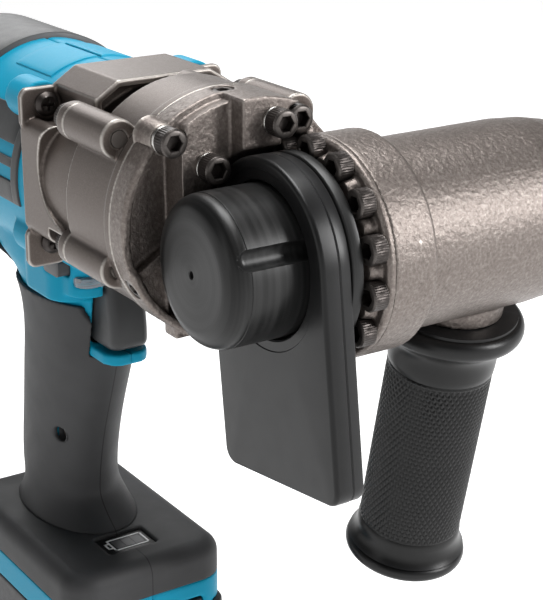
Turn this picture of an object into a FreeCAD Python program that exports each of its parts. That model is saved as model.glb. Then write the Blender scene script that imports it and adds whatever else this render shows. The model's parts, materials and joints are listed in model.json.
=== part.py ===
import FreeCAD, Part
import math
import os
import Sketcher

# Cordless pipe threading machine with a pistol grip.
#
# Frame: +Z up, +X the way the motor points, origin at the middle of the battery's flat underside.
# The motor and its gears turn about X. The threading spindle turns about Y, inside the barrel,
# whose mouth faces +Y. Millimetres throughout.
#
# Depths along the barrel are plain y values. The motor's line lies in the plane y = 0.

SIZES = {
    # where the two main axes are
    "barrel_x": 154, "barrel_z": 235, "motor_rise": 7.36,
    # barrel, its flange and the head cover
    "flange_radius": 38.8, "flange_end": 37, "barrel_radius": 34.1, "barrel_bore": 28.5,
    "barrel_straight": 96, "barrel_end": 118, "mouth_radius": 31.2,
    "cover_front": 16.6, "cover_back": 19.6, "cover_boss_front": 9.8, "cover_boss_radius": 29.6,
    "screw_circle": 35, "screw_count": 14, "screw_first_angle": 41.06,
    "cap_head_radius": 5, "cap_head_length": 6, "cap_shank_radius": 3, "cap_hex": 2.9,
    # black parts in front of the barrel
    "knob_radius": 26.2, "knob_face": 18.7, "knob_front": -34.5, "knob_shoulder": -27.4,
    "knob_back": 8, "flute_radius": 3.8, "flute_angle": 23, "spindle_nose_radius": 10,
    "knob_socket_end": -12,
    "shield_front": -7, "shield_back": 4.5, "shield_radius": 35, "shield_drop": 79,
    "shield_tilt": 7.5, "shield_corner": 6, "shield_bore": 27.2, "shield_seat": 30,
    "collar_radius": 35, "collar_front": 5, "collar_back": 9.5, "collar_bore": 26.9,
    "running_gap": 0.05,
    # spindle, its bearings and the bevel ring gear
    "spindle_radius": 12, "front_bearing_outer": 21, "front_bearing_end": 17,
    "cup_start": 43, "cup_end": 88, "cup_radius": 20, "cup_bore": 14.5, "cup_floor": 48,
    "rear_bearing_start": 56, "rear_bearing_end": 70,
    "bevel_pitch_radius": 21, "bevel_face": 6, "bevel_teeth": 30, "pinion_teeth": 10,
    # die head
    "die_head_radius": 27.6, "die_head_end": 104, "die_bottom": 93.5, "die_width": 8,
    "die_tip": 12.9, "die_length": 10.4, "die_travel": 2, "cam_start": 104.3, "cam_end": 109,
    "guide_bore": 13.6, "guide_radius": 15.4, "guide_end": 113, "nose_bore": 25,
    "nose_start": 112, "nose_end": 122, "cam_radius": 27.4,
    # transfer gears between the motor's line and the bevel pinion
    "transfer_offset": 28.05, "gear_module": 1, "transfer_small": 22, "transfer_large": 36,
    # planetary stage
    "planet_module": 1.25, "sun_teeth": 9, "planet_teeth": 18, "ring_teeth": 45, "ring_outer": 31.8,
    # cast housings along the motor's line, x counted from the barrel's axis
    "case_back": -62, "case_front": -37.2, "case_radius": 43.4, "case_cavity": 40,
    "case_seam": -72, "case_ring_radius": 38.8,
    "mount_front": -27.5, "mount_radius": 44.4, "mount_pocket": 41.2, "mount_step": -22,
    "neck_radius": 42.4, "bulge_radius": 22, "hood_back": -109, "hood_front": -75,
    "hood_half": 28.4, "hood_top": 41.3, "hood_shoulder": 35.3, "hood_slope": 32.8, "hood_wall": 2.6,
    "body_radius": 41.2, "gear_tube_radius": 36, "gear_tube_bore": 32,
    # motor housing, grip and base, x counted from the barrel's axis
    "housing_back": -225, "housing_radius": 42, "housing_rise": 4.5, "wall": 2.6,
    "rubber": 2.2, "grip_bottom": -159,
    "base_front": -95, "base_back": -207, "base_half": 37, "base_top": -159, "base_seam": -175,
    "trim_bottom": -187, "base_corner": 13,
    "battery_back": -213, "battery_bottom": -235, "cell_radius": 9, "cell_length": 65,
    # side handle, measured down its own axis from the barrel's axis
    "handle_y": 81.66, "handle_tilt": 12.26, "handle_collar_top": 36, "handle_collar_radius": 28.3,
    "handle_grip_radius": 20.2, "handle_flange_radius": 24, "handle_end": 152,
    "stud_radius": 6, "stud_length": 108,
}


class Size(float):
    """A number that remembers the spreadsheet formula it came from."""

    def __new__(cls, number, formula=None):
        size = super().__new__(cls, number)
        size.formula = formula if formula else repr(float(number))
        return size

    def join(self, sign, other, number):
        other = other if isinstance(other, Size) else Size(other)
        return Size(number, "(%s %s %s)" % (self.formula, sign, other.formula))

    def __add__(self, other):
        return self.join("+", other, float(self) + float(other))

    def __sub__(self, other):
        return self.join("-", other, float(self) - float(other))

    def __mul__(self, other):
        return self.join("*", other, float(self) * float(other))

    def __truediv__(self, other):
        return self.join("/", other, float(self) / float(other))

    def __radd__(self, other):
        return Size(other) + self

    def __rsub__(self, other):
        return Size(other) - self

    def __rmul__(self, other):
        return Size(other) * self

    def __neg__(self):
        return Size(0) - self


doc = FreeCAD.newDocument("PipeThreader")
sheet = doc.addObject("Spreadsheet::Sheet", "Sizes")
for row, (alias, number) in enumerate(SIZES.items(), start=1):
    sheet.set("A%d" % row, alias)
    sheet.set("B%d" % row, str(number))
    sheet.setAlias("B%d" % row, alias)
doc.recompute()


class Sheet:
    """Gives each cell of the spreadsheet by its alias, as S.barrel_x."""

    def __getattr__(self, alias):
        return Size(float(sheet.get(alias)), "Sizes." + alias)


S = Sheet()
BX = S.barrel_x
BZ = S.barrel_z
MZ = S.barrel_z + S.motor_rise
HZ = S.barrel_z + S.housing_rise
ZERO = Size(0)

nodes = {}
X_TURN = FreeCAD.Rotation(FreeCAD.Vector(0, 1, 0), 90)
Y_TURN = FreeCAD.Rotation(FreeCAD.Vector(1, 0, 0), -90)
TURNS = {"X": X_TURN, "Y": Y_TURN, "Z": FreeCAD.Rotation()}


# ---------------------------------------------------------------- building blocks

def bind(item, prop, size):
    size = size if isinstance(size, Size) else Size(size)
    item.setExpression(prop, size.formula)


def place(item, at, rotation=None):
    point = FreeCAD.Vector(*[float(number) for number in at])
    item.Placement = FreeCAD.Placement(point, rotation if rotation else FreeCAD.Rotation())
    for axis, size in zip("xyz", at):
        bind(item, "Placement.Base." + axis, size)


def cylinder(radius, length, at, axis="Z"):
    """A cylinder that starts at the point `at` and runs along an axis of the frame."""
    item = doc.addObject("Part::Cylinder", "Cylinder")
    bind(item, "Radius", radius)
    bind(item, "Height", length)
    place(item, at, TURNS[axis])
    return item


def cone(start_radius, end_radius, length, at, axis="Z"):
    item = doc.addObject("Part::Cone", "Cone")
    bind(item, "Radius1", start_radius)
    bind(item, "Radius2", end_radius)
    bind(item, "Height", length)
    place(item, at, TURNS[axis])
    return item


def ball(radius, at):
    item = doc.addObject("Part::Sphere", "Ball")
    bind(item, "Radius", radius)
    place(item, at)
    return item


def box(low, high, name="Block"):
    item = doc.addObject("Part::Box", name)
    for prop, start, end in zip(("Length", "Width", "Height"), low, high):
        bind(item, prop, Size(0) + end - start)
    place(item, low)
    return item


def turned_box(low, high, at, rotation):
    """A box given in a turned frame whose origin is the point `at`."""
    item = doc.addObject("Part::Box", "TurnedBlock")
    for prop, start, end in zip(("Length", "Width", "Height"), low, high):
        bind(item, prop, Size(0) + end - start)
    corner = rotation.multVec(FreeCAD.Vector(*[float(number) for number in low]))
    spot = [Size(0) + part + shift for part, shift in zip(at, (corner.x, corner.y, corner.z))]
    place(item, spot, rotation)
    return item


def fuse(items):
    item = doc.addObject("Part::MultiFuse", "Joined")
    item.Shapes = items
    return item


def cut(base, tools):
    item = doc.addObject("Part::Cut", "Shaped")
    item.Base = base
    item.Tool = tools[0] if len(tools) == 1 else fuse(tools)
    return item


def common(items):
    item = doc.addObject("Part::MultiCommon", "Shared")
    item.Shapes = items
    return item


def rounded(base, radius, wanted):
    """Rounds the edges of `base` for which wanted(edge) is true."""
    doc.recompute()
    item = doc.addObject("Part::Fillet", "Rounded")
    item.Base = base
    edges = enumerate(base.Shape.Edges, start=1)
    item.Edges = [(index, radius, radius) for index, edge in edges if wanted(edge)]
    return item


def runs_along(axis):
    """A test for straight edges that lie along one axis of the frame."""
    def test(edge):
        if edge.Curve.TypeId != "Part::GeomLine":
            return False
        direction = edge.tangentAt(edge.FirstParameter)
        return abs(abs(getattr(direction, axis)) - 1) < 1e-6
    return test


def turned(outline, at, axis, name="Turned"):
    """A lathe-turned body. The outline is a closed list of (distance along the axis, radius)."""
    body = doc.addObject("PartDesign::Body", name)
    sketch = body.newObject("Sketcher::SketchObject", name + "Outline")
    planes = {feature.Role: feature for feature in body.Origin.OriginFeatures}
    sketch.AttachmentSupport = [(planes["XY_Plane"], "")]
    sketch.MapMode = "FlatFace"
    corners = [FreeCAD.Vector(float(along), float(radius), 0) for along, radius in outline]
    count = len(corners)
    for index, corner in enumerate(corners):
        sketch.addGeometry(Part.LineSegment(corner, corners[(index + 1) % count]), False)
    for index in range(count):
        sketch.addConstraint(Sketcher.Constraint("Coincident", index, 2, (index + 1) % count, 1))
    for index, (along, radius) in enumerate(outline):
        for kind, size in (("DistanceX", along), ("DistanceY", radius)):
            size = size if isinstance(size, Size) else Size(size)
            number = sketch.addConstraint(
                Sketcher.Constraint(kind, -1, 1, index, 1, float(size)))
            if "Sizes." in size.formula:
                sketch.setExpression("Constraints[%d]" % number, size.formula)
    revolution = body.newObject("PartDesign::Revolution", name + "Turn")
    revolution.Profile = sketch
    revolution.ReferenceAxis = (sketch, ["H_Axis"])
    revolution.Angle = 360
    sketch_turns = {"X": FreeCAD.Rotation(),
                    "Y": FreeCAD.Rotation(FreeCAD.Vector(0, 0, 1), 90),
                    "Z": FreeCAD.Rotation(FreeCAD.Vector(0, 1, 0), -90)}
    place(body, at, sketch_turns[axis])
    body.Tip = revolution
    return body


def tube(outer, inner, start, end, centre, axis, name="Tube"):
    """A plain ring or sleeve between two places along its axis."""
    outline = [(start, inner), (start, outer), (end, outer), (end, inner)]
    return turned(outline, centre, axis, name)


def shaped(name, shape, placement=None):
    """A sub-part whose shape is made by this script's own code."""
    item = doc.addObject("Part::Feature", name)
    item.Shape = shape
    if placement:
        item.Placement = placement
    return item


def node(label, item):
    """Names a finished sub-part."""
    item.Label = label
    nodes[label] = item
    return item


def compound(label, items):
    """Separate solids that share one node, such as a set of screws."""
    item = doc.addObject("Part::Compound", label)
    item.Links = items
    return node(label, item)


BARREL = (BX, ZERO, BZ)
MOTOR = (BX, ZERO, MZ)


def polar(radius, degrees):
    angle = math.radians(degrees)
    return radius * math.cos(angle), radius * math.sin(angle)


# ---------------------------------------------------------------- gear outlines

def tooth_outline(teeth, module, pressure=20, addendum=0.85, dedendum=1.2, slack=0.09, phase=0.0):
    """Corner points of an involute gear, counter-clockwise, with a tooth centred on `phase`."""
    pitch = teeth * module / 2
    base = pitch * math.cos(math.radians(pressure))
    tip = pitch + addendum * module
    root = pitch - dedendum * module
    spread = math.tan(math.radians(pressure)) - math.radians(pressure)
    half = math.pi / (2 * teeth) - slack * module / pitch / 2 + spread
    flank = []
    start = max(base, root)
    for step in range(4):
        radius = start + (tip - start) * step / 3
        roll = math.acos(min(1.0, base / radius))
        flank.append((radius, half - (math.tan(roll) - roll)))
    if root < base:
        flank.insert(0, (root, half))
    points = []
    for tooth in range(teeth):
        centre = math.radians(phase) + 2 * math.pi * tooth / teeth
        for radius, angle in flank:
            points.append(polar(radius, math.degrees(centre - angle)))
        for radius, angle in reversed(flank):
            points.append(polar(radius, math.degrees(centre + angle)))
    return points


def outline_wire(points, x, scale=1.0):
    """A closed wire in the plane x, from points given as (y, z)."""
    corners = [FreeCAD.Vector(x, y * scale, z * scale) for y, z in points]
    return Part.makePolygon(corners + corners[:1])


def spur_gear(points, start, end):
    """A straight gear about the X axis between two x positions."""
    face = Part.Face(outline_wire(points, start))
    return face.extrude(FreeCAD.Vector(end - start, 0, 0))


def bevel_teeth(teeth, pitch_radius, apex_distance, face, phase, far):
    """Teeth that all point at the origin, about the X axis, cut from a cone.

    The big end lies on the plane x = -apex_distance, where the pitch radius is pitch_radius. The
    cone of teeth goes on to `far` times that distance, so that a cylinder can trim it.
    """
    module = 2 * pitch_radius / teeth
    slant = math.hypot(pitch_radius, apex_distance)
    cone_angle = math.atan2(pitch_radius, apex_distance)
    half_turn = math.pi / teeth
    heights = ((-1.2, 0.315), (0.0, 0.215), (0.75, 0.115))
    points = []
    for tooth in range(teeth):
        centre = math.radians(phase) + 2 * half_turn * tooth
        flank = []
        for height, share in heights:
            radius = apex_distance * math.tan(cone_angle + math.atan2(height * module, slant))
            flank.append((radius, 2 * half_turn * share))
        for radius, angle in flank:
            points.append(polar(radius, math.degrees(centre - angle)))
        for radius, angle in reversed(flank):
            points.append(polar(radius, math.degrees(centre + angle)))
    near = (slant - face) / slant * 0.97
    big = outline_wire(points, -apex_distance * far, far)
    small = outline_wire(points, -apex_distance * near, near)
    return Part.makeLoft([big, small], True, True)


# ---------------------------------------------------------------- screws

def cap_screw(at, axis, shank_length, sign=1):
    """A socket cap screw. `at` is the seat under its head, and the head points along sign * axis."""
    offset = {"X": (1, 0, 0), "Y": (0, 1, 0), "Z": (0, 0, 1)}[axis]

    def along(distance):
        return tuple(Size(0) + place_at + part * distance for place_at, part in zip(at, offset))

    head_length = S.cap_head_length
    if sign > 0:
        head = cylinder(S.cap_head_radius, head_length, along(0), axis)
        shank = cylinder(S.cap_shank_radius, shank_length, along(Size(0) - shank_length), axis)
        hexagon_at = along(head_length - 3)
    else:
        head = cylinder(S.cap_head_radius, head_length, along(Size(0) - head_length), axis)
        shank = cylinder(S.cap_shank_radius, shank_length, along(0), axis)
        hexagon_at = along(Size(0) - head_length)
    hexagon = doc.addObject("Part::Prism", "Hexagon")
    hexagon.Polygon = 6
    bind(hexagon, "Circumradius", S.cap_hex)
    bind(hexagon, "Height", 3)
    place(hexagon, hexagon_at, TURNS[axis])
    return cut(fuse([head, shank]), [hexagon])


# ---------------------------------------------------------------- black parts at the front

def make_knob():
    chamfer_one = S.knob_front + 1.3
    chamfer_two = S.knob_front + 3.5
    blank = turned([
        (S.knob_front, ZERO), (S.knob_front, S.knob_face), (chamfer_one, S.knob_face + 3.7),
        (chamfer_two, S.knob_radius - 1.4), (S.knob_shoulder, S.knob_radius),
        (S.knob_back, S.knob_radius), (S.knob_back, S.spindle_nose_radius),
        (S.knob_socket_end, S.spindle_nose_radius), (S.knob_socket_end, ZERO)], BARREL, "Y", "Knob")
    tools = [cylinder(1.3, 3, (BX, S.knob_front - 0.5, BZ), "Y")]
    for turn in range(3):
        dx, dz = polar(float(S.knob_radius) + 1.0, float(S.flute_angle) + 120 * turn)
        runout = (BX + dx, S.knob_shoulder - 0.4, BZ + dz)
        tools.append(cylinder(S.flute_radius, 40, runout, "Y"))
        tools.append(ball(S.flute_radius, runout))
    node("turn_knob", cut(blank, tools))


def shield_plate(label, start, end, bore, screw_holes):
    """One half of the tongue-shaped shield, hanging from the barrel's axis."""
    drop = S.shield_drop
    disc = cylinder(S.shield_radius, end - start, (ZERO, start, ZERO), "Y")
    leg = box((-S.shield_radius, start, -drop), (S.shield_radius, end, ZERO))
    leg = rounded(leg, float(S.shield_corner),
                  lambda edge: runs_along("y")(edge) and edge.CenterOfMass.z < -10)
    tools = [cylinder(bore, end - start + 2, (ZERO, start - 1, ZERO), "Y")]
    tools += [cylinder(1.6, end - start + 2, (x, start - 1, z), "Y") for x, z in screw_holes]
    plate = cut(fuse([disc, leg]), tools)
    tilt = FreeCAD.Rotation(FreeCAD.Vector(0, 1, 0), -float(S.shield_tilt))
    place(plate, BARREL, tilt)
    node(label, plate)


def make_shield():
    # The screws go in from behind, so the front half keeps a blind skin.
    seats = [(-26, -66), (26, -66), (-32.4, 0), (32.4, 0)]
    shield_plate("shield_front", S.shield_front, ZERO, S.shield_bore, [])
    shield_plate("shield_rear", ZERO, S.shield_back, S.shield_seat, seats)
    tilt = FreeCAD.Rotation(FreeCAD.Vector(0, 1, 0), -float(S.shield_tilt))
    screws = []
    for x, z in seats:
        spot = tilt.multVec(FreeCAD.Vector(x, 0, z))
        at = (BX + spot.x, Size(0.05), BZ + spot.z)
        screws.append(cylinder(1.5, S.shield_back - 0.3, at, "Y"))
    compound("shield_screws", screws)


def make_collar():
    """The fixed black ring with a sleeve that the shield turns on."""
    sleeve = S.shield_seat - S.running_gap
    outline = [(Size(0.4), S.collar_bore), (Size(0.4), sleeve), (S.collar_front, sleeve),
               (S.collar_front, S.collar_radius - 0.8), (S.collar_front + 0.8, S.collar_radius),
               (S.collar_back, S.collar_radius), (S.collar_back, S.collar_bore)]
    node("shield_collar", turned(outline, BARREL, "Y", "Collar"))


# ---------------------------------------------------------------- head

def screw_angles():
    count = int(S.screw_count)
    return [float(S.screw_first_angle) + 360 / count * index for index in range(count)]


def cover_shank(angle):
    """Shank length of a cover screw; the ones beside the pinion's bearing are short."""
    beside_pinion = abs(angle - 182) < 20
    return Size(2.8) if beside_pinion else Size(17)


def make_head_cover():
    """The cover that carries the front bearing, with a cast lug between each two screw heads."""
    front = S.cover_front
    blank = turned([
        (S.cover_boss_front, S.front_bearing_outer), (S.cover_boss_front, S.cover_boss_radius),
        (front, S.cover_boss_radius), (front, S.flange_radius - 1.2), (front + 1.2, S.flange_radius),
        (S.cover_back, S.flange_radius), (S.cover_back, Size(25)), (S.cover_back - 1.2, Size(25)),
        (S.cover_back - 1.2, Size(18)), (S.front_bearing_end, Size(18)),
        (S.front_bearing_end, S.front_bearing_outer)], BARREL, "Y", "Cover")
    half_step = 180 / int(S.screw_count)
    lugs = []
    for angle in screw_angles():
        dx, dz = polar(float(S.cover_boss_radius) + 1.4, angle + half_step)
        lugs.append(cone(3.2, 4.4, 4.4, (BX + dx, S.cover_front - 4.3, BZ + dz), "Y"))
    holes = []
    for angle in screw_angles():
        dx, dz = polar(float(S.screw_circle), angle)
        holes.append(cylinder(S.cap_shank_radius, 4, (BX + dx, front - 0.5, BZ + dz), "Y"))
        holes.append(cylinder(S.cap_head_radius + 0.2, 6.4, (BX + dx, front - 6.4, BZ + dz), "Y"))
    node("head_cover", cut(fuse([blank] + lugs), holes))
    screws = []
    for angle in screw_angles():
        dx, dz = polar(float(S.screw_circle), angle)
        screws.append(cap_screw((BX + dx, front, BZ + dz), "Y", cover_shank(angle), -1))
    compound("head_cover_screws", screws)


# Screws that hold the head to the gear case: y, z from the barrel's axis, and the seat's x.
HEAD_SCREWS = ((-27.9, 38.3, -27.5), (-14.5, 28.4, -22.0), (7.0, 43.0, -14.0), (17.2, 42.2, -20.0))
WASHER_THICKNESS = 1.4


def make_head_screws():
    screws = []
    washers = []
    for y, z, seat in HEAD_SCREWS:
        shank = seat + 43.0
        at = (BX + seat + WASHER_THICKNESS, Size(y), BZ + z)
        screws.append(cap_screw(at, "X", shank, 1))
        ring = tube(Size(5), Size(3.05), ZERO, Size(WASHER_THICKNESS), (BX + seat, Size(y), BZ + z),
                    "X", "Washer")
        washers.append(ring)
    compound("head_screws", screws)
    compound("spring_washers", washers)


def make_barrel_casting():
    """Barrel, flange, neck and the round mounting flange, all one casting."""
    barrel = turned([
        (S.cover_back, ZERO), (S.cover_back, S.flange_radius), (S.flange_end - 1, S.flange_radius),
        (S.flange_end, S.flange_radius - 1), (S.flange_end, S.barrel_radius + 2),
        (S.flange_end + 2, S.barrel_radius), (S.barrel_straight, S.barrel_radius),
        (S.barrel_straight + 12, S.barrel_radius - 0.9), (S.barrel_end, S.mouth_radius),
        (S.barrel_end, ZERO)], BARREL, "Y", "Barrel")
    depth = S.mount_front - S.case_front
    disc = cylinder(S.mount_radius, depth, (BX + S.case_front, ZERO, MZ), "X")
    disc = rounded(disc, 1.2, lambda edge: edge.CenterOfMass.x > float(BX) - 30)
    pocket = cylinder(S.mount_pocket, 7, (BX + S.mount_front - 6, ZERO, MZ), "X")
    flange = cut(disc, [pocket])
    slab = box((BX - 40, Size(-24.2), BZ - 20), (BX - 20, Size(33), MZ + 42))
    slab = rounded(slab, 12.0, lambda edge: edge.CenterOfMass.z > float(MZ) + 41.9
                   and edge.CenterOfMass.y < -24)
    plate = common([cylinder(S.neck_radius, S.mount_step - S.case_front,
                             (BX + S.case_front, ZERO, MZ), "X"), slab])
    ribs = [box((BX + S.case_front, Size(-24), BZ - 34), (BX - 29, Size(-18), BZ + 4)),
            box((BX + S.case_front, Size(10), BZ - 33), (BX - 28, Size(34), BZ + 20)),
            turned_box((ZERO, ZERO, Size(-1.6)), (Size(5.6), Size(26), Size(1.6)),
                       (BX - 34, Size(-40.5), BZ - 10.8),
                       FreeCAD.Rotation(FreeCAD.Vector(1, 0, 0), 33.4))]
    block = box((BX - 30, Size(-5.3), BZ + 20), (BX - 14, Size(23.5), BZ + 60))
    block = common([block, cylinder(S.mount_radius, 20, (BX - 32, ZERO, MZ), "X")])
    block = cut(block, [turned_box((ZERO, ZERO, ZERO), (Size(20), Size(20), Size(30)),
                                   (BX - 31, Size(15.4), MZ + 38),
                                   FreeCAD.Rotation(FreeCAD.Vector(1, 0, 0), -42))])
    neck = box((BX + S.case_front, Size(19.8), BZ - 27), (BX - 6, Size(46), BZ + 30))
    neck = rounded(neck, 6.0, lambda edge: edge.CenterOfMass.y > 45.9)
    bulge = cylinder(S.bulge_radius, 14, (BX + S.case_front, S.transfer_offset, BZ), "X")
    handle_pad = cylinder(19, S.handle_collar_top - 0.1, (ZERO, ZERO, ZERO), "Z")
    place(handle_pad, (BX, S.handle_y, BZ), handle_rotation())
    body = fuse([barrel, flange, plate, block, neck, bulge, handle_pad] + ribs)
    tools = [
        cylinder(S.barrel_bore, 110, (BX, S.cover_back - 5, BZ), "Y"),
        cylinder(41.4, 9.5, (BX, Size(10.1), BZ), "Y"),
        cylinder(37.2, 23.1, (BX, Size(-13), BZ), "Y"),
        cylinder(28.5, 50, (BX, Size(-50), BZ), "Y"),
        box((BX - 37.4, Size(-9), BZ - 45), (BX - 20, Size(10.1), BZ - 10)),
        cylinder(8.2, 10, (BX - 34, S.transfer_offset, BZ), "X"),
        cylinder(5, 8, (BX - 38, S.transfer_offset, BZ), "X"),
        box((BX - 60, Size(-60), BZ - 60), (BX + S.case_front, Size(70), BZ + 60)),
    ]
    tools += rim_plugs(S.mount_radius - 4)
    # The mounting flange is open here so that the cover screws can be reached.
    tools.append(box((BX - 60, S.cover_back - 10, BZ - 60), (BX - 27.4, S.cover_back, BZ - 8)))
    body = cut(body, tools)
    tools = []
    for y, z, seat in HEAD_SCREWS:
        tools.append(cylinder(3, seat + 40, (BX - 38, Size(y), BZ + z), "X"))
        tools.append(cylinder(5.6, 12, (BX + seat, Size(y), BZ + z), "X"))
    for angle in screw_angles():
        dx, dz = polar(float(S.screw_circle), angle)
        tools.append(cylinder(S.cap_shank_radius, cover_shank(angle),
                              (BX + dx, S.cover_back - 3, BZ + dz), "Y"))
    stud = cylinder(S.stud_radius, 60, (ZERO, ZERO, ZERO), "Z")
    place(stud, (BX, S.handle_y, BZ), handle_rotation())
    tools.append(stud)
    node("barrel_casting", cut(body, tools))


def rim_plugs(start):
    """Cylinders that stand radially in the mounting flange's rim, from the radius `start`."""
    plugs = []
    for angle in (92, 209, -30):
        turn = FreeCAD.Rotation(FreeCAD.Vector(1, 0, 0), angle - 90)
        plug = doc.addObject("Part::Cylinder", "Plug")
        bind(plug, "Radius", 3.8)
        bind(plug, "Height", 5)
        dy, dz = polar(float(start), angle)
        place(plug, (BX + S.case_front + 4.6, Size(dy), MZ + dz), turn)
        plugs.append(plug)
    return plugs


def make_rim_plugs():
    inside = cylinder(S.mount_radius - 0.6, 12, (BX + S.case_front - 1, ZERO, MZ), "X")
    plugs = []
    for plug, angle in zip(rim_plugs(S.mount_radius - 4), (92, 209, -30)):
        turn = FreeCAD.Rotation(FreeCAD.Vector(1, 0, 0), angle - 90)
        hexagon = doc.addObject("Part::Prism", "Hexagon")
        hexagon.Polygon = 6
        bind(hexagon, "Circumradius", 2.4)
        bind(hexagon, "Height", 5)
        dy, dz = polar(float(S.mount_radius) - 2.4, angle)
        place(hexagon, (BX + S.case_front + 4.6, Size(dy), MZ + dz), turn)
        plugs.append(cut(common([plug, inside]), [hexagon]))
    compound("rim_plugs", plugs)


def handle_rotation():
    """Turns +Z into the side handle's own direction, down and a little back."""
    return FreeCAD.Rotation(FreeCAD.Vector(0, 1, 0), 180 + float(S.handle_tilt))


# ---------------------------------------------------------------- spindle and its gear

def make_spindle():
    outline = [
        (S.knob_socket_end, ZERO), (S.knob_socket_end, S.spindle_nose_radius),
        (S.knob_back, S.spindle_nose_radius), (S.knob_back, S.spindle_radius + 1.4),
        (S.cover_boss_front, S.spindle_radius + 1.4), (S.cover_boss_front, S.spindle_radius),
        (S.cup_start - 4, S.spindle_radius), (S.cup_start - 4, Size(13)),
        (S.cup_start, Size(13)), (S.cup_start, S.cup_radius), (S.cup_end, S.cup_radius),
        (S.cup_end, S.cup_bore), (S.cup_floor, S.cup_bore), (S.cup_floor, ZERO)]
    node("spindle", turned(outline, BARREL, "Y", "Spindle"))
    bearing = tube(S.front_bearing_outer, S.spindle_radius + S.running_gap, S.cover_boss_front,
                   S.front_bearing_end, BARREL, "Y", "FrontBearing")
    node("front_bearing", bearing)
    needles = tube(S.barrel_bore, S.cup_radius + S.running_gap, S.rear_bearing_start,
                   S.rear_bearing_end, BARREL, "Y", "NeedleBearing")
    node("needle_bearing", needles)


def make_bevel_gears():
    pitch = float(S.bevel_pitch_radius)
    small_pitch = pitch * float(S.pinion_teeth) / float(S.bevel_teeth)
    face = float(S.bevel_face)
    teeth = int(S.bevel_teeth)
    # Gear: built about X with its teeth facing -X, then turned so that they face -Y.
    gear_far = 1.36
    back_start = small_pitch * gear_far - 0.02
    cone_part = bevel_teeth(teeth, pitch, small_pitch, face, 180 + 180 / teeth, gear_far)
    limit = Part.makeCylinder(pitch + 1.2, 12, FreeCAD.Vector(-12, 0, 0), FreeCAD.Vector(1, 0, 0))
    rim = cone_part.common(limit)
    # The cone's big end looks at -X; its apex is at the origin. A mirror turns it to +X.
    rim = rim.mirror(FreeCAD.Vector(0, 0, 0), FreeCAD.Vector(1, 0, 0))
    back_length = float(S.cup_start) - float(S.transfer_offset) - back_start
    back = Part.makeCylinder(pitch + 1.2, back_length, FreeCAD.Vector(back_start, 0, 0),
                             FreeCAD.Vector(1, 0, 0))
    blank = rim.fuse(back)
    bore = Part.makeCylinder(13, 40, FreeCAD.Vector(-1, 0, 0), FreeCAD.Vector(1, 0, 0))
    blank = blank.cut(bore).removeSplitter()
    quarter = FreeCAD.Rotation(FreeCAD.Vector(0, 0, 1), 90)
    gear = shaped("BevelRingGear", blank,
                  FreeCAD.Placement(FreeCAD.Vector(BX, S.transfer_offset, BZ), quarter))
    node("bevel_ring_gear", gear)
    # Pinion, its shaft and the large transfer gear are one hardened piece.
    pinion_cone = bevel_teeth(int(S.pinion_teeth), small_pitch, pitch, face, 0, 1.12)
    keep = Part.makeCylinder(9.2, 8.2, FreeCAD.Vector(-pitch - 1.5, 0, 0), FreeCAD.Vector(1, 0, 0))
    pinion = pinion_cone.common(keep)
    shaft = Part.makeCylinder(4, 59.8 - pitch, FreeCAD.Vector(-59.8, 0, 0), FreeCAD.Vector(1, 0, 0))
    placement = FreeCAD.Placement(FreeCAD.Vector(BX, S.transfer_offset, BZ), FreeCAD.Rotation())
    node("bevel_pinion_shaft", shaped("BevelPinion", pinion.fuse(shaft).removeSplitter(), placement))
    angle = math.degrees(math.atan2(-float(S.motor_rise), float(S.transfer_offset)))
    small = int(S.transfer_small)
    large = int(S.transfer_large)
    phase = angle + 180 - 360 / large * (0.5 - small * angle / 360)
    wheel = spur_gear(tooth_outline(large, float(S.gear_module), phase=phase), -57.5, -51)
    hole = Part.makeCylinder(4, 10, FreeCAD.Vector(-60, 0, 0), FreeCAD.Vector(1, 0, 0))
    node("transfer_gear", shaped("TransferGear", wheel.cut(hole), placement))


def bearing_on_x(outer, inner, start, end, y, z):
    gap = S.running_gap
    return tube(Size(0) + outer, gap + inner, Size(start), Size(end),
                (BX, Size(0) + y, Size(0) + z), "X", "Bearing")


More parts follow.
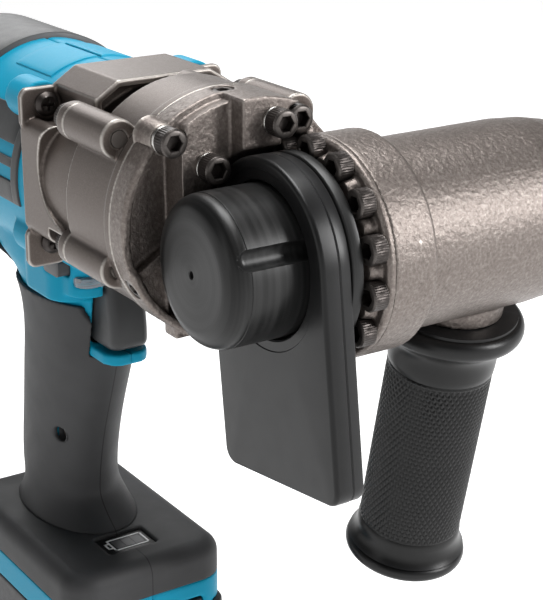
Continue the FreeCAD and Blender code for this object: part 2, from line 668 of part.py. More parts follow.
def make_gear_train():
    """Sun on the rotor's shaft, three planets, a fixed ring gear and the planet carrier."""
    module = float(S.planet_module)
    sun = int(S.sun_teeth)
    planet = int(S.planet_teeth)
    ring = int(S.ring_teeth)
    centre = (sun + planet) * module / 2
    start, end = -101.0, -91.0
    at_motor = FreeCAD.Placement(FreeCAD.Vector(BX, 0, MZ), FreeCAD.Rotation())
    outer = Part.makeCylinder(float(S.ring_outer), end - start, FreeCAD.Vector(start, 0, 0),
                              FreeCAD.Vector(1, 0, 0))
    gap = tooth_outline(ring, module, addendum=1.2, dedendum=0.75, slack=-0.09, phase=180 / ring)
    inner = spur_gear(gap, start - 1, end + 1)
    node("ring_gear", shaped("RingGear", outer.cut(inner), at_motor))
    for index in range(3):
        angle = 120 * index
        y, z = polar(centre, angle)
        phase = angle + 180 - 360 / planet * (0.5 - sun * angle / 360)
        wheel = spur_gear(tooth_outline(planet, module, phase=phase), start + 0.4, end - 0.4)
        hole = Part.makeCylinder(3.06, 20, FreeCAD.Vector(start - 2, 0, 0), FreeCAD.Vector(1, 0, 0))
        spot = FreeCAD.Placement(FreeCAD.Vector(BX, y, MZ + z), FreeCAD.Rotation())
        node("planet_gear_%d" % (index + 1), shaped("Planet", wheel.cut(hole), spot))
    # Carrier: plate with three pins, a stub shaft and the small transfer gear on its end.
    plate = cylinder(24, 5, (BX + end + 0.2, ZERO, MZ), "X")
    stub = cylinder(7.5, 31.4, (BX + end + 5, ZERO, MZ), "X")
    tail = cylinder(5, 12, (BX - 55, ZERO, MZ), "X")
    pins = []
    for index in range(3):
        y, z = polar(centre, 120 * index)
        pins.append(cylinder(3, 9.6, (BX + start + 1, Size(y), MZ + z), "X"))
    wheel = spur_gear(tooth_outline(int(S.transfer_small), float(S.gear_module)), -58, -50.5)
    node("planet_carrier", fuse([plate, stub, tail, shaped("TransferPinion", wheel, at_motor)] + pins))
    # Rotor with its shaft; the sun gear is cut on the shaft's end.
    sun_teeth = spur_gear(tooth_outline(sun, module), start + 0.4, end - 0.5)
    shaft = Part.makeCylinder(4, 106, FreeCAD.Vector(-206, 0, 0), FreeCAD.Vector(1, 0, 0))
    core = Part.makeCylinder(14, 28, FreeCAD.Vector(-186, 0, 0), FreeCAD.Vector(1, 0, 0))
    rotor = sun_teeth.multiFuse([shaft, core]).removeSplitter()
    node("rotor", shaped("Rotor", rotor, at_motor))
    node("carrier_bearing", bearing_on_x(16, 7.5, -74, -65, ZERO, MZ))
    node("carrier_end_bearing", bearing_on_x(9, 5, -48.5, -43, ZERO, MZ))
    offset = S.transfer_offset
    compound("pinion_bearings", [bearing_on_x(8.2, 4, start, start + 5.6, offset, BZ)
                                 for start in (-49.4, -33.6)])
    compound("motor_bearings", [bearing_on_x(11, 4, start, start + 7, ZERO, MZ)
                                for start in (-206, -115)])


def make_motor():
    stator = tube(Size(26), Size(23), Size(-187), Size(-157), MOTOR, "X", "StatorRing")
    arms = []
    coils = []
    for index in range(6):
        turn = FreeCAD.Rotation(FreeCAD.Vector(1, 0, 0), 60 * index)
        at = (BX - 187, ZERO, MZ)
        arms.append(turned_box((0, -2.5, 14.6), (30, 2.5, 23.6), at, turn))
        shell = turned_box((-3, -4.9, 16), (33, 4.9, 22.3), at, turn)
        core = turned_box((-0.05, -2.6, 15), (30.05, 2.6, 23.6), at, turn)
        coils.append(cut(shell, [core]))
    node("stator_core", fuse([stator] + arms))
    compound("stator_windings", coils)
    hub = tube(Size(10), Size(4), Size(-150), Size(-138), MOTOR, "X", "FanHub")
    blades = []
    for index in range(9):
        turn = FreeCAD.Rotation(FreeCAD.Vector(1, 0, 0), 40 * index)
        blades.append(turned_box((0, -0.8, 9), (11, 0.8, 32), (BX - 150, ZERO, MZ), turn))
    node("cooling_fan", fuse([hub] + blades))
    board = tube(Size(26), Size(9), Size(-196), Size(-194), MOTOR, "X", "SensorBoard")
    node("hall_sensor_board", board)


# ---------------------------------------------------------------- cast housings of the gears

# Long bolts that clamp the gear housing to the gear case: y and z from the barrel's axis.
CASE_BOLTS = ((-36.4, 36.3), (-38.1, -9.7), (30.0, -28.5), (36.4, 36.3))
BOLT_HEAD_BACK = -79.0
PAN_SCREWS = ((-33.0, 28.6), (-33.0, -24.4), (33.0, 28.6), (33.0, -24.4))


def hood_block(start, end, inset):
    """The hood's flat-topped section, made smaller by `inset`."""
    half = S.hood_half - inset
    shoulder = MZ + S.hood_shoulder - inset / 2
    block = box((BX + start, -half, MZ + 12), (BX + end, half, MZ + S.hood_top - inset))
    slopes = []
    for side in (-1, 1):
        turn = FreeCAD.Rotation(FreeCAD.Vector(1, 0, 0), -side * float(S.hood_slope))
        slopes.append(turned_box((ZERO, Size(-30), ZERO), (Size(60), Size(30), Size(20)),
                                 (BX + start - 10, half * side, shoulder), turn))
    return cut(block, slopes)


def make_gear_housing():
    wall_end = S.hood_back + 4
    core = turned([
        (S.hood_back, Size(11)), (S.hood_back, S.body_radius - 1), (S.hood_back + 1, S.body_radius),
        (S.case_seam, S.body_radius), (S.case_seam, S.gear_tube_radius),
        (S.case_back, S.gear_tube_radius), (S.case_back, Size(16)), (S.case_back - 12, Size(16)),
        (S.case_back - 12, S.gear_tube_bore), (wall_end, S.gear_tube_bore),
        (wall_end, Size(11))], MOTOR, "X", "GearHousing")
    outside = [hood_block(S.hood_back, S.hood_front, 0)]
    for y, z in CASE_BOLTS:
        outside.append(cylinder(7, 5, (BX + S.case_seam - 5, Size(y), BZ + z), "X"))
    for side in (-1, 1):
        pad = turned_box((ZERO, Size(-7), Size(-22)), (S.case_seam - S.hood_back, Size(7), Size(22)),
                         (BX + S.hood_back, Size(35.6) * side, MZ + 2), FreeCAD.Rotation())
        pad = rounded(pad, 5.0, runs_along("x"))
        outside.append(cut(pad, [cylinder(21, 30, (BX - 74.5, Size(40 * side - 15), BZ + 16.4), "Y")]))
    for y, z in PAN_SCREWS:
        ear = turned_box((ZERO, Size(-8), Size(-8)), (Size(2.6), Size(8), Size(8)),
                         (BX + S.hood_back, Size(y + (-2 if y < 0 else 2)), MZ + z - 1.5),
                         FreeCAD.Rotation())
        outside.append(rounded(ear, 3.5, runs_along("x")))
    outside = cut(fuse(outside), [cylinder(S.gear_tube_radius - 1, 60,
                                           (BX + S.hood_back - 1, ZERO, MZ), "X")])
    open_top = [hood_block(S.hood_front - 8, S.hood_front + 1, S.hood_wall),
                box((BX + S.hood_front, Size(-29), MZ + 20), (BX + S.case_seam + 1, Size(29), MZ + 60))]
    open_top = cut(fuse(open_top), [cylinder(S.gear_tube_radius, 30, (BX - 90, ZERO, MZ), "X")])
    tools = [open_top, cylinder(S.gear_tube_bore, 27, (BX + wall_end, ZERO, MZ), "X")]
    for y, z in CASE_BOLTS:
        tools.append(cylinder(3, 20, (BX - 80, Size(y), BZ + z), "X"))
        tools.append(cylinder(5.6, 12, (BX - 89, Size(y), BZ + z), "X"))
    for y, z in PAN_SCREWS:
        tools.append(cylinder(2, 9, (BX + S.hood_back - 1, Size(y), MZ + z), "X"))
        tools.append(cylinder(6.2, 15, (BX + S.hood_back + 2.6, Size(y), MZ + z), "X"))
    node("gear_housing", cut(fuse([core, outside]), tools))


def make_gear_case():
    outline = [
        (S.case_back, Size(16)), (S.case_back, S.case_radius), (S.case_front - 5, S.case_radius),
        (S.case_front - 4, S.mount_radius), (S.case_front, S.mount_radius), (S.case_front, ZERO),
        (S.case_front - 4, ZERO), (S.case_front - 4, Size(9)), (Size(-48.5), Size(9)),
        (Size(-48.5), S.case_cavity), (S.case_back + 2, S.case_cavity), (S.case_back + 2, Size(16))]
    shell = turned(outline, MOTOR, "X", "GearCase")
    centre = (BX, ZERO, MZ)
    sleeve = tube(S.case_radius, Size(37.2), S.case_seam, S.case_back + 1, centre, "X", "Sleeve")
    sleeve = cut(sleeve, [box((BX + S.case_seam - 1, Size(-29), MZ + 20),
                              (BX + S.case_back - 2, Size(29), MZ + 60))])
    ring = tube(S.case_ring_radius, Size(37.2), S.case_seam + 1, S.case_back + 1, centre, "X", "Ring")
    lobe = cylinder(S.bulge_radius, S.case_front - S.case_back,
                    (BX + S.case_back, S.transfer_offset, BZ), "X")
    bosses = [cylinder(7, 29, (BX + S.case_seam, Size(y), BZ + z), "X") for y, z in CASE_BOLTS]
    bosses.append(cylinder(7, 29, (BX + S.case_seam + 2, Size(5.5), BZ + 43.6), "X"))
    lobe_cavity = cylinder(S.bulge_radius - 2.8, 11.5, (BX + S.case_back + 2, S.transfer_offset, BZ),
                           "X")
    clear_core = cylinder(S.case_cavity, 11.5, (BX + S.case_back + 2, ZERO, MZ), "X")
    tools = [lobe_cavity, clear_core,
             cylinder(37.2, S.case_back - S.case_seam, (BX + S.case_seam, ZERO, MZ), "X"),
             cylinder(16, 4, (BX + S.case_back - 1, ZERO, MZ), "X"),
             cylinder(9, 7.3, (BX - 48.5, ZERO, MZ), "X"),
             cylinder(8.2, 7.2, (BX - 50, S.transfer_offset, BZ), "X"),
             cylinder(5, 12, (BX - 46, S.transfer_offset, BZ), "X"),
             cylinder(41.4, 9.5, (BX, Size(10.1), BZ), "Y")]
    for y, z in CASE_BOLTS:
        tools.append(cylinder(3, 31, (BX + S.case_seam - 1, Size(y), BZ + z), "X"))
    for y, z, seat in HEAD_SCREWS:
        tools.append(cylinder(3, 8, (BX - 43, Size(y), BZ + z), "X"))
    node("gear_case", cut(fuse([shell, sleeve, ring, lobe] + bosses), tools))
    bolts = [cap_screw((BX + BOLT_HEAD_BACK + 2, Size(y), BZ + z), "X", 34, -1)
             for y, z in CASE_BOLTS]
    compound("case_bolts", bolts)


def make_housing_screws():
    """Pan-head screws through ears at the back of the gear housing."""
    screws = []
    for y, z in PAN_SCREWS:
        seat = BX + S.hood_back + 2.6
        shank = cylinder(2, 10.6, (seat - 10.6, Size(y), MZ + z), "X")
        flat = cylinder(4.6, 1.2, (seat, Size(y), MZ + z), "X")
        crown = cone(4.6, 3.2, 1.6, (seat + 1.2, Size(y), MZ + z), "X")
        slots = [box((seat + 1.4, Size(y) - across, MZ + z - up),
                     (seat + 4, Size(y) + across, MZ + z + up))
                 for across, up in ((0.6, 2.4), (2.4, 0.6))]
        screws.append(cut(fuse([shank, flat, crown]), slots))
    compound("gear_housing_screws", screws)


# ---------------------------------------------------------------- motor housing, grip and base

# Stations down the grip: z from the barrel's axis, middle x, depth and width.
GRIP = ((-28, -162, 104, 52), (-45, -158, 90, 48), (-56, -152.5, 74, 44), (-68, -152.5, 70, 41),
        (-92, -158.5, 67, 37), (-118, -165, 60.5, 36), (-142, -168, 56, 37), (-159, -163, 74, 46))


def grip_solid(shrink):
    """The grip as a loft through oval stations, made thinner all round by `shrink`."""
    loft = doc.addObject("Part::Loft", "Grip")
    sections = []
    for z, middle, depth, width in GRIP:
        oval = doc.addObject("Part::Ellipse", "Station")
        bind(oval, "MajorRadius", Size(depth) / 2 - shrink)
        bind(oval, "MinorRadius", Size(width) / 2 - shrink)
        place(oval, (BX + middle, ZERO, BZ + z))
        sections.append(oval)
    loft.Sections = sections
    loft.Solid = True
    loft.Ruled = False
    return loft


def rounded_block(low, high, corner):
    block = box(low, high)
    return rounded(block, float(corner), runs_along("z"))


def make_housing():
    wall = S.wall
    length = S.hood_back - S.housing_back
    half = S.base_half
    outer = [
        cylinder(S.housing_radius, length, (BX + S.housing_back, ZERO, HZ), "X"),
        rounded_block((BX - 160, Size(-24.5), BZ - 50), (BX - 120.5, Size(24.5), BZ - 16), 12),
        rounded_block((BX - 150, Size(-21), BZ - 46), (BX - 112, Size(21), BZ - 16), 9),
        rounded_block((BX - 150, Size(-10), BZ - 75), (BX - 107, Size(10), BZ - 70.4), 8),
        grip_solid(S.rubber),
        box((BX - 186, Size(-16), BZ - 176), (BX - 142, Size(16), BZ + S.grip_bottom)),
        rounded_block((BX + S.base_back, -half, BZ + S.trim_bottom),
                      (BX + S.base_front, half, BZ + S.base_seam), S.base_corner),
    ]
    for y, z in PAN_SCREWS:
        outer.append(cylinder(8, 16, (BX + S.hood_back - 16, Size(y), MZ + z), "X"))
    tools = [
        cylinder(S.housing_radius - wall, length + wall * 2,
                 (BX + S.housing_back - wall, ZERO, HZ), "X"),
        box((BX + S.hood_back, Size(-60), MZ - S.body_radius - 0.4), (BX + 20, Size(60), BZ + 60)),
        cylinder(S.mount_radius + 1, 34, (BX + S.case_seam, ZERO, MZ), "X"),
        box((BX - 148, Size(-14.4), BZ - 49.4), (BX - 122.6, Size(14.4), BZ - 18)),
        grip_solid(S.rubber + wall),
        box((BX - 183, Size(-13), BZ - 180), (BX - 145, Size(13), BZ - 150)),
        rounded_block((BX + S.base_back + wall, wall - half, BZ + S.trim_bottom + 4.5),
                      (BX + S.base_front - wall, half - wall, BZ + S.base_seam - 2), 10),
        box((BX + S.base_back + 3, Size(-24.4), BZ + S.trim_bottom - 1),
            (BX + S.base_front + 5, Size(24.4), BZ + S.trim_bottom + 4.6)),
        # the trigger's mouth, between the lamp above and the guard strip below
        box((BX - 140, Size(-9), BZ - 69.8), (BX - 60, Size(9), BZ - 41.3)),
        box((BX - 133.2, Size(-50), BZ - 37.7), (BX - 118.8, Size(50), BZ - 29.3)),
        box((BX - 118, Size(-19.6), BZ - 41.2), (BX - 100, Size(19.6), BZ - 37.0)),
    ]
    whole = cut(fuse(outer), tools)
    inside = S.housing_radius - wall
    front_wall = cut(cylinder(inside, 3, (BX + S.hood_back - 3, ZERO, HZ), "X"),
                     [cylinder(11, 5, (BX + S.hood_back - 4, ZERO, MZ), "X"),
                      box((BX - 150, Size(-14.4), BZ - 60), (BX - 86.6, Size(14.4), BZ - 18))])
    rear_seat = cut(cylinder(inside, 3, (BX - 206, ZERO, HZ), "X"),
                    [cylinder(11, 5, (BX - 207, ZERO, MZ), "X")])
    stator_seat = cut(cylinder(inside, 4, (BX - 176, ZERO, HZ), "X"),
                      [cylinder(26, 8, (BX - 178, ZERO, MZ), "X")])
    body = fuse([whole, front_wall, rear_seat, stator_seat])
    pans = [cylinder(2, 9, (BX + S.hood_back - 8, Size(y), MZ + z), "X") for y, z in PAN_SCREWS]
    body = cut(body, pans)
    for label, low, high in (("housing_right", -80, 0), ("housing_left", 0, 80)):
        side = box((BX - 260, Size(low), BZ - 260), (BX + 60, Size(high), BZ + 80))
        node(label, common([body, side]))
    cap = turned([(S.housing_back - 5, ZERO), (S.housing_back - 5, S.housing_radius - 8),
                  (S.housing_back - 3, S.housing_radius - 3), (S.housing_back, S.housing_radius),
                  (S.housing_back, ZERO)], (BX, ZERO, HZ), "X", "RearCover")
    slots = [box((BX + S.housing_back - 6, Size(-22), HZ + 9 * step - 2),
                 (BX + S.housing_back + 1, Size(22), HZ + 9 * step + 2)) for step in (-2, -1, 0, 1, 2)]
    node("rear_cover", cut(cap, slots))


def make_grip_cover():
    """Rubber over the grip, as one sleeve that the two halves of the housing fill."""
    skin = cut(grip_solid(ZERO), [grip_solid(S.rubber)])
    band = fuse([box((BX - 220, Size(-40), BZ + S.grip_bottom), (BX - 90, Size(40), BZ - 53)),
                 box((BX - 230, Size(-40), BZ - 60), (BX - 184, Size(40), BZ - 40))])
    mouth = [box((BX - 140, Size(-10.4), BZ - 75.4), (BX - 90, Size(10.4), BZ - 50)),
             cylinder(17.5, 90, (BX - 107, Size(-45), BZ - 49), "Y")]
    node("grip_cover", cut(common([skin, band]), mouth))
    half = S.base_half
    shell = rounded_block((BX + S.base_back, -half, BZ + S.base_seam),
                          (BX + S.base_front, half, BZ + S.base_top), S.base_corner)
    shell = rounded(shell, 7.0, lambda edge: edge.CenterOfMass.z > float(BZ + S.base_top) - 0.1)
    inside = rounded_block((BX + S.base_back + 3, 3 - half, BZ + S.base_seam - 1),
                           (BX + S.base_front - 3, half - 3, BZ + S.base_top - 4), 10)
    column = box((BX - 186, Size(-16), BZ - 180), (BX - 142, Size(16), BZ - 150))
    window = box((BX - 126, Size(-11.3), BZ - 176), (BX - 110, Size(11.3), BZ - 150))
    node("base_cover", cut(shell, [inside, column, window]))
    node("gauge_button", box((BX - 125.7, Size(-11), BZ - 163.6), (BX - 110.3, Size(11), BZ - 160.4),
                             "GaugeButton"))


def make_controls():
    lever = box((BX - 128, Size(-8.4), BZ - 69), (BX - 106, Size(8.4), BZ - 41.8))
    lever = rounded(lever, 5.0, lambda edge: edge.CenterOfMass.x > float(BX) - 107)
    node("trigger", lever)
    node("trigger_switch", box((BX - 176, Size(-8), BZ - 86), (BX - 143, Size(8), BZ - 56),
                               "TriggerSwitch"))
    button = box((BX - 133, Size(-25), BZ - 37.5), (BX - 119, Size(25), BZ - 29.5))
    node("direction_button", rounded(button, 2.5, runs_along("y")))
    lens = box((BX - 117.8, Size(-19.4), BZ - 41), (BX - 110.8, Size(19.4), BZ - 37.2))
    node("lamp_lens", rounded(lens, 5.0, lambda edge: runs_along("z")(edge)
                              and edge.CenterOfMass.x > float(BX) - 111))
    node("control_board", box((BX - 160, Size(-30), BZ - 181), (BX - 105, Size(30), BZ - 179),
                              "ControlBoard"))
    node("terminal_block", box((BX - 200, Size(-20), BZ - 182.4), (BX - 175, Size(20), BZ - 178),
                               "TerminalBlock"))


def make_battery():
    half = S.base_half
    top = BZ + S.trim_bottom - 0.4
    block = rounded_block((BX + S.battery_back, -half, BZ + S.battery_bottom),
                          (BX + S.base_front, half, top), 8)
    rail = box((BX - 198, Size(-24), top - 2), (BX + S.base_front, Size(24), top + 4))
    inside = rounded_block((BX + S.battery_back + 2.5, 2.5 - half, BZ + S.battery_bottom + 2.5),
                           (BX + S.base_front - 6, half - 2.5, top - 2.5), 6)
    latch_seat = box((BX - 99.4, Size(-11), BZ - 204), (BX - 94, Size(11), BZ - 180))
    node("battery_case", cut(fuse([block, rail]), [inside, latch_seat]))
    cells = []
    for row in range(2):
        for column in range(5):
            at = (BX - 192 + 19.4 * column, -S.cell_length / 2, BZ - 222.5 + 19.6 * row)
            cells.append(cylinder(S.cell_radius, S.cell_length, at, "Y"))
    compound("battery_cells", cells)
    node("battery_latch", box((BX - 99.1, Size(-10.6), BZ - 200), (BX - 94.6, Size(10.6), BZ - 186),
                              "BatteryLatch"))


# ---------------------------------------------------------------- die head

def make_die_head():
    blank = tube(S.die_head_radius, S.cup_bore, S.cup_end, S.die_head_end, BARREL, "Y", "DieHead")
    tools = []
    dies = []
    for index in range(4):
        turn = FreeCAD.Rotation(FreeCAD.Vector(0, 1, 0), 90 * index)
        tools.append(turned_box((Size(8), S.die_bottom, -S.die_width / 2),
                                (Size(26), S.die_head_end + 1, S.die_width / 2), BARREL, turn))
        low = (S.die_tip, S.die_bottom + 0.1, 0.1 - S.die_width / 2)
        high = (S.die_tip + S.die_length, S.die_head_end - 0.3, S.die_width / 2 - 0.1)
        block = box(low, high)
        pin = cylinder(1.5, 3.6, (S.die_tip + 7, S.die_head_end - 0.5, ZERO), "Y")
        teeth = [cylinder(0.5, 12, (S.die_tip, S.die_bottom + 1 + 1.8 * row, Size(-6)), "Z")
                 for row in range(6)]
        die = cut(fuse([block, pin]), teeth)
        place(die, BARREL, turn)
        dies.append(node("die_%d" % (index + 1), die))
    node("die_head", cut(blank, tools))


def make_cam_ring():
    """Ring with four slanted slots; turning it draws the dies outward."""
    blank = tube(S.cam_radius, S.guide_radius + 0.3, S.cam_start, S.cam_end, BARREL, "Y", "CamRing")
    tools = []
    start = float(S.die_tip) + 7
    for index in range(4):
        for step in range(-1, 10):
            share = step / 8
            radius = start + float(S.die_travel) * share
            dx, dz = polar(radius, -90 * index + 20 * share)
            tools.append(cylinder(1.85, 9, (BX + dx, S.cam_start - 1, BZ + dz), "Y"))
    for index in range(4):
        dx, dz = polar(24.4, 45 + 90 * index)
        tools.append(cylinder(1.6, 4, (BX + dx, S.cam_end - 2, BZ + dz), "Y"))
    node("cam_ring", cut(blank, tools))
    guide = turned([
        (S.die_head_end, S.guide_bore), (S.die_head_end, S.guide_radius),
        (S.guide_end - 1, S.guide_radius), (S.guide_end, S.guide_bore + 1),
        (S.guide_end - 1, S.guide_bore)], BARREL, "Y", "PipeGuide")
    node("pipe_guide", guide)
    nose = turned([
        (S.barrel_end, S.nose_bore + 1), (S.nose_start, S.nose_bore + 1.6),
        (S.nose_start, S.barrel_bore), (S.barrel_end, S.barrel_bore),
        (S.barrel_end, S.mouth_radius), (S.nose_end - 2, S.mouth_radius - 0.8),
        (S.nose_end, S.mouth_radius - 3), (S.nose_end, S.nose_bore)], BARREL, "Y", "NoseRing")
    node("nose_ring", nose)


# ---------------------------------------------------------------- side handle

def make_handle():
    rotation = handle_rotation()
    at = (BX, S.handle_y, BZ)
    top = S.handle_collar_top
    rim = S.handle_collar_radius
    grip = S.handle_grip_radius
    foot = S.handle_flange_radius
    end = S.handle_end
    outline = [
        (top, S.stud_radius), (top, rim - 5), (top + 1.2, rim - 2), (top + 4, rim),
        (top + 7.4, rim), (top + 10, rim - 2.4), (top + 12, grip + 1.8), (top + 16, grip + 0.2),
        (top + 22, grip), (end - 16, grip), (end - 11, grip + 0.4), (end - 8, foot - 1),
        (end - 6, foot), (end - 3, foot), (end - 1, foot - 1.6), (end, foot - 5),
        (end, ZERO), (end - 12, ZERO), (end - 12, S.stud_radius)]
    sleeve = turned(outline, (ZERO, ZERO, ZERO), "Z", "Handle")
    place(sleeve, at, rotation.multiply(FreeCAD.Rotation(FreeCAD.Vector(0, 1, 0), -90)))
    node("side_handle", sleeve)
    stud = cylinder(S.stud_radius, S.stud_length, (ZERO, ZERO, ZERO), "Z")
    lift = rotation.multVec(FreeCAD.Vector(0, 0, 29.5))
    place(stud, (BX + lift.x, S.handle_y, BZ + lift.z), rotation)
    node("handle_stud", stud)


make_knob()
make_shield()
make_collar()
make_head_cover()
make_head_screws()
make_barrel_casting()
make_rim_plugs()
make_spindle()
make_bevel_gears()
make_gear_train()
make_motor()
make_gear_housing()
make_gear_case()
make_housing_screws()
make_housing()
make_grip_cover()
make_controls()
make_battery()
make_die_head()
make_cam_ring()
make_handle()

# ---------------------------------------------------------------- check and write

doc.recompute()
for item in doc.Objects:
    if "Invalid" in item.State or "Error" in item.State:
        raise RuntimeError("%s (%s) did not compute" % (item.Name, item.Label))
os.makedirs("parts", exist_ok=True)
for label, item in nodes.items():
    shape = item.Shape
    if shape.isNull() or not shape.isValid() or not shape.Solids:
        raise RuntimeError("%s has no valid solid" % label)
    shape.exportStep("parts/%s.step" % label)
    print("%-22s %3d solid(s) %10.1f mm3" % (label, len(shape.Solids), shape.Volume))
print(len(nodes), "nodes")
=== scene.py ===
"""Looks of the cordless pipe threading machine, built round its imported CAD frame. Metres."""
import json
import math

import bmesh
import bpy
import numpy as np
from mathutils import Matrix, Vector, noise


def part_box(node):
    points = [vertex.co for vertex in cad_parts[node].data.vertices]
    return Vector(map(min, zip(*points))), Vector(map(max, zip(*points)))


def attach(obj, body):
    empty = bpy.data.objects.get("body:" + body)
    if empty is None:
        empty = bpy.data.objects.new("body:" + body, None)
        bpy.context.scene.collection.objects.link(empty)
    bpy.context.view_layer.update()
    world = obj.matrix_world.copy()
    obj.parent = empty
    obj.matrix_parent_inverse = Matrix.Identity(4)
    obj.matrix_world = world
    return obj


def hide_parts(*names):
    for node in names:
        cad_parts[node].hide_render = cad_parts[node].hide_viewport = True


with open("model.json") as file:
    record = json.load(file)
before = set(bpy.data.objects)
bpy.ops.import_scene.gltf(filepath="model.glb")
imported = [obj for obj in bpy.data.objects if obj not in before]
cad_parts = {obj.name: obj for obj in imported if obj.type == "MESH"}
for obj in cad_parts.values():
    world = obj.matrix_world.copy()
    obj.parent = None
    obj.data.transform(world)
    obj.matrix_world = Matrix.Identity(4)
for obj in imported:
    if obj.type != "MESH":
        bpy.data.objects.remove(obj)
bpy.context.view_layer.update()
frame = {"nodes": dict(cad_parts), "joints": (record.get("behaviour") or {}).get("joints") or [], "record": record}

NODES = frame["nodes"]
JOINTS = {joint["name"]: joint for joint in frame["joints"]}
SLOT_OF = {entry["node"]: entry["material_slot"] for entry in frame["record"]["subparts"]}
BODY_OF = {node: body for body, nodes in frame["record"]["behaviour"]["bodies"].items()
           for node in nodes}
BARREL = Vector(JOINTS["spindle_spin"]["pos_m"])
MM = 0.001
TURN = 2 * math.pi


# ---------------------------------------------------------------- camera, floor and light

def set_view():
    """The camera stands to the front right of the machine and looks a little down at it."""
    camera = bpy.data.cameras.new("Camera")
    camera.lens = 98.2
    camera.sensor_width = 36
    camera.clip_start = 0.01
    holder = bpy.data.objects.new("Camera", camera)
    bpy.context.scene.collection.objects.link(holder)
    holder.location = BARREL + Vector((0.43347, -0.28737, 0.17203))
    yaw = math.radians(-56.765)
    pitch = math.radians(19.811)
    direction = Vector((math.sin(yaw) * math.cos(pitch), math.cos(yaw) * math.cos(pitch),
                        -math.sin(pitch)))
    holder.rotation_euler = direction.to_track_quat("-Z", "Y").to_euler()
    bpy.context.scene.camera = holder


def area_light(name, place, target, size, power):
    lamp = bpy.data.lights.new(name, "AREA")
    lamp.shape = "RECTANGLE"
    lamp.size, lamp.size_y = size
    lamp.energy = power
    holder = bpy.data.objects.new(name, lamp)
    bpy.context.scene.collection.objects.link(holder)
    holder.location = place
    holder.rotation_euler = (Vector(target) - Vector(place)).to_track_quat("-Z", "Y").to_euler()


def set_stage():
    """A plain pale floor, a white horizon and soft lamps."""
    floor_mesh = bpy.data.meshes.new("Floor")
    reach = 6
    floor_mesh.from_pydata([(-reach, -reach, 0), (reach, -reach, 0), (reach, reach, 0),
                            (-reach, reach, 0)], [], [(0, 1, 2, 3)])
    floor = bpy.data.objects.new("Floor", floor_mesh)
    bpy.context.scene.collection.objects.link(floor)
    paint = Paint("FloorPaint", (0.5, 0.5, 0.5), roughness=0.9)
    paint.shader.inputs["Emission Color"].default_value = (1, 1, 1, 1)
    paint.shader.inputs["Emission Strength"].default_value = 0.86
    floor_mesh.materials.append(paint.material)
    # A studio that is white round the horizon, behind the object, and dim overhead.
    world = bpy.data.worlds.new("Studio")
    world.use_nodes = True
    tree = world.node_tree
    direction = tree.nodes.new("ShaderNodeTexCoord").outputs["Generated"]
    height = tree.nodes.new("ShaderNodeSeparateXYZ")
    tree.links.new(direction, height.inputs[0])
    fade = tree.nodes.new("ShaderNodeMapRange")
    for key, number in (("From Min", 0.2), ("From Max", 0.28), ("To Min", 0.93), ("To Max", 0.06)):
        fade.inputs[key].default_value = number
    tree.links.new(height.outputs["Z"], fade.inputs["Value"])
    tree.links.new(fade.outputs[0], tree.nodes["Background"].inputs["Strength"])
    tree.nodes["Background"].inputs["Color"].default_value = (1, 1, 1, 1)
    bpy.context.scene.world = world
    middle = (0.08, 0.02, 0.16)
    area_light("Overhead", (0.0, 0.1, 1.25), middle, (0.6, 0.6), 15)
    area_light("FrontLeft", (0.25, -1.3, 0.7), middle, (0.3, 0.8), 1.2)
    area_light("Right", (1.15, 0.85, 0.75), middle, (0.3, 0.7), 17)
    area_light("Back", (-1.0, 0.3, 0.9), middle, (0.6, 0.8), 5)
    bpy.context.scene.view_settings.view_transform = "Standard"


# ---------------------------------------------------------------- materials

